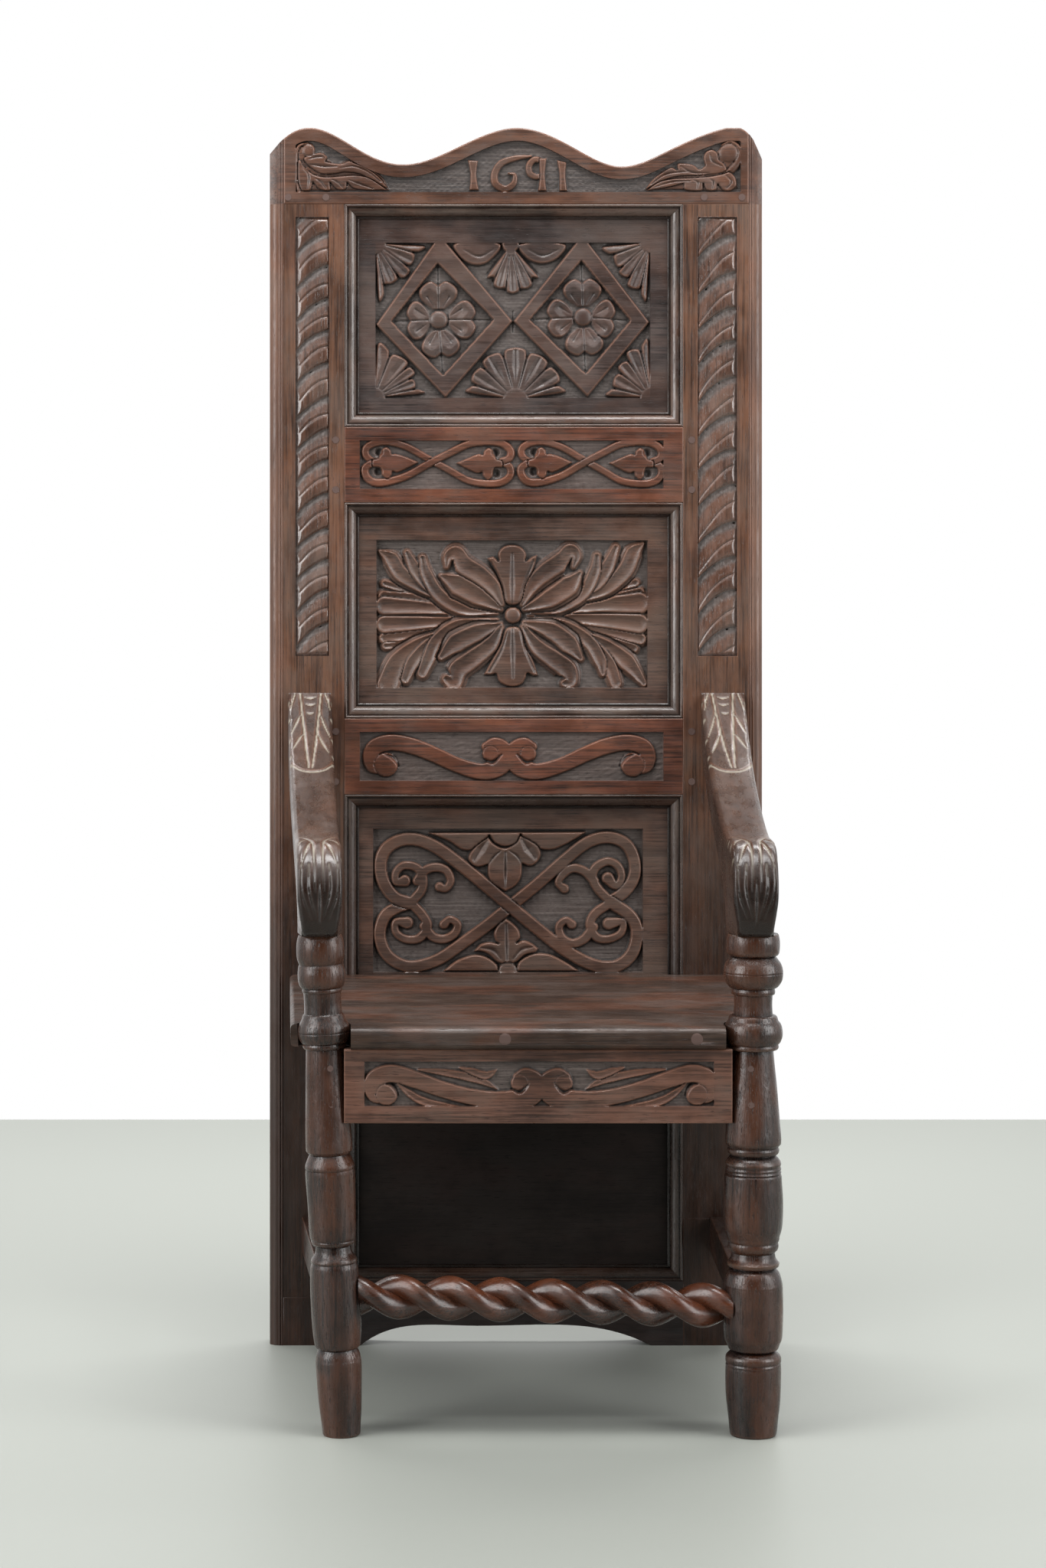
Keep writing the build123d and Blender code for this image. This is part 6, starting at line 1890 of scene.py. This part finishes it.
        # The scroll's front darkens with painted shade as it turns down.
        scroll_turn = ease((lengths - 440.0) / 60.0)
        loop = self.across + 1 + len(self.skirt)
        bm = bmesh.new()
        layers = [bm.verts.layers.float.new(word) for word in ("crease", "crown", "painted_shade")]
        bmesh.ops.create_grid(bm, x_segments=self.along, y_segments=loop, size=0.5)
        for vert in bm.verts:
            i, j = round((vert.co.x + 0.5) * self.along), round((vert.co.y + 0.5) * loop) % loop
            if j <= self.across:
                offset = t[j]
                y, z = top[i] + out[i] * height[j, i]
                dirt = (crease[j, i] * (1 - 0.8 * scroll_turn[i]), crown[j, i], scroll_turn[i])
            else:
                offset, drop = self.skirt[j - self.across - 1]
                corner = top[i] - out[i] * self.edge
                y, z = corner + (under[i] - corner) * drop
                # The arm's sides and underside get some painted shade.
                dirt = (0.0, 0.0, 0.35)
            for layer, value in zip(layers, dirt):
                vert[layer] = value
            vert.co = (self.side.value * (middle[i] + offset * half[i]), y, z)
        bmesh.ops.remove_doubles(bm, verts=bm.verts, dist=WELD)
        bmesh.ops.holes_fill(bm, edges=[e for e in bm.edges if e.is_boundary], sides=0)
        finish_piece(bm, f"{self.side.word}_arm_carved", ARM_OAK, [f"{self.side.word}_arm"], angle=50,
                     even=False)


# ---- the seat and its rails ----
@dataclass
class SeatFrame:
    """The seat board, the carved rail under it, side rails and side stretchers."""

    board_wear: float = 1.6
    rail_wear: float = 1.0

    def build(self) -> None:
        """Builds the seat's pieces."""
        APRON.build()
        worn_node("seat_board", SEAT_OAK, self.board_wear)
        dress_node("seat_plugs", PEG_OAK)
        for side in Side:
            worn_node(f"{side.word}_seat_rail", SIDE_OAK, self.rail_wear)
            worn_node(f"{side.word}_stretcher", STRETCHER_OAK, self.rail_wear)


# ---- studio ----
@dataclass(frozen=True)
class Softbox:
    """A soft rectangular lamp. Places and sizes are metres and the power is watts."""

    name: str
    place: Point
    target: Point
    width: float
    height: float
    power: float

    def build(self) -> None:
        """Sets the lamp up, facing its target."""
        light = bpy.data.lights.new(self.name, "AREA")
        light.shape = "RECTANGLE"
        light.size, light.size_y, light.energy = self.width, self.height, self.power
        lamp = bpy.data.objects.new(self.name, light)
        bpy.context.scene.collection.objects.link(lamp)
        lamp.location = self.place
        lamp.rotation_euler = (Vector(self.target) - Vector(self.place)).to_track_quat("-Z", "Y").to_euler()


@dataclass
class Studio:
    """A pale floor before a white wall, soft lamps, a black flag and the camera. Sizes are metres."""

    floor_colour: str = "8e918b"
    floor_back: float = 1.75
    floor_size: float = 8.0
    ambient: float = 0.16  # strength of the light from all round
    camera_place: Point = (-0.218, -3.985, 0.978)
    focal_length: float = 82.5  # on a 36 mm high frame
    shift: tuple[float, float] = (0.1235, -0.1768)
    lamps: tuple[Softbox, ...] = (
        Softbox("softbox_left", (-2.6, -1.5, 1.7), (0.0, 0.1, 0.8), width=1.6, height=2.6, power=102.0),
        Softbox("softbox_right", (2.6, -1.3, 1.7), (0.0, 0.1, 0.8), width=1.6, height=2.6, power=90.0),
        Softbox("softbox_above", (0.0, -0.6, 3.3), (0.0, 0.1, 0.8), width=1.6, height=1.0, power=92.0),
        Softbox("softbox_rear", (0.0, 1.5, 2.9), (0.0, 1.4, 0.0), width=5.0, height=0.6, power=130.0),
    )
    flag_place: Point = (0.0, -5.2, 1.5)
    flag_width: float = 4.6
    flag_height: float = 2.7
    flag_colour: str = "0a0a0a"

    def sheet(self, name: str, place: Matrix, colour: str, roughness: float) -> bpy.types.Object:
        """Sets up a flat sheet that isn't part of the chair.

        Args:
            name: its name.
            place: takes a level sheet of 1 m, in the middle of the floor, to its size and place.
            colour: its colour, as hex digits.
            roughness: how matt it is.

        Returns:
            The sheet.
        """
        bm = bmesh.new()
        bmesh.ops.create_grid(bm, x_segments=1, y_segments=1, size=0.5, matrix=place)
        mesh = bpy.data.meshes.new(name)
        bm.to_mesh(mesh)
        bm.free()
        material = bpy.data.materials.new(name)
        material.use_nodes = True
        shader = material.node_tree.nodes["Principled BSDF"]
        shader.inputs["Base Color"].default_value = linear(colour)
        shader.inputs["Roughness"].default_value = roughness
        mesh.materials.append(material)
        sheet = bpy.data.objects.new(name, mesh)
        bpy.context.scene.collection.objects.link(sheet)
        return sheet

    def floor(self) -> None:
        """Lays the floor, which ends at the wall."""
        place = Matrix.Translation((0, self.floor_back - self.floor_size / 2, 0))
        size = Matrix.Diagonal((self.floor_size, self.floor_size, 1.0, 1.0))
        self.sheet("studio_floor", place @ size, self.floor_colour, 0.45)

    def flag(self) -> None:
        """Hangs a black cloth behind the camera, so that waxed faces that look forward mirror no light."""
        upright = Matrix.Translation(self.flag_place) @ Matrix.Rotation(math.pi / 2, 4, "X")
        size = Matrix.Diagonal((self.flag_width, self.flag_height, 1.0, 1.0))
        cloth = self.sheet("studio_flag", upright @ size, self.flag_colour, 0.9)
        cloth.visible_camera = cloth.visible_diffuse = cloth.visible_shadow = False

    def world(self) -> None:
        """Gives soft light from all round, and a white wall where it is seen or reflected."""
        world = bpy.data.worlds.new("studio")
        bpy.context.scene.world = world
        world.use_nodes = True
        tree = world.node_tree
        tree.nodes.clear()
        path = add_node(tree, "ShaderNodeLightPath")
        seen = path.outputs["Is Camera Ray"]
        for ray in ("Is Glossy Ray", "Is Transmission Ray"):
            seen = add_node(tree, "ShaderNodeMath", {0: seen, 1: path.outputs[ray]},
                            operation="MAXIMUM").outputs[0]
        soft = add_node(tree, "ShaderNodeBackground", {"Color": linear("f4f6f5"), "Strength": self.ambient})
        white = add_node(tree, "ShaderNodeBackground", {"Color": linear("ffffff"), "Strength": 1.0})
        both = add_node(tree, "ShaderNodeMixShader", {0: seen, 1: soft.outputs[0], 2: white.outputs[0]})
        add_node(tree, "ShaderNodeOutputWorld", {"Surface": both.outputs[0]})

    def camera(self) -> None:
        """Places the camera, level and square to the chair's back."""
        lens = bpy.data.cameras.new("camera")
        lens.sensor_fit, lens.sensor_height, lens.lens = "VERTICAL", 36.0, self.focal_length
        lens.shift_x, lens.shift_y = self.shift
        camera = bpy.data.objects.new("camera", lens)
        bpy.context.scene.collection.objects.link(camera)
        camera.location = self.camera_place
        camera.rotation_euler = (math.pi / 2, 0, 0)
        bpy.context.scene.camera = camera

    def build(self) -> None:
        """Sets up the whole studio."""
        self.floor()
        self.flag()
        self.world()
        for softbox in self.lamps:
            softbox.build()
        self.camera()
        bpy.context.scene.view_settings.view_transform = "Standard"
        LOG.info("studio: floor, world, %d lamps and camera", len(self.lamps))


def main() -> None:
    """Builds the studio and every sub-assembly of the chair."""
    logging.basicConfig(level=logging.INFO, format="%(name)s: %(message)s")
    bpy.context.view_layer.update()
    Studio().build()
    BackFrame().build()
    TurnedLeg(Side.RIGHT, foot_x=229.0, lean=0.0, profile=RIGHT_TURNING).build()
    TurnedLeg(Side.LEFT, foot_x=-205.0, lean=19.0, profile=LEFT_TURNING).build()
    TwistStretcher().build()
    for side in Side:
        Arm(side).build()
    SeatFrame().build()


if __name__ == "__main__":
    main()
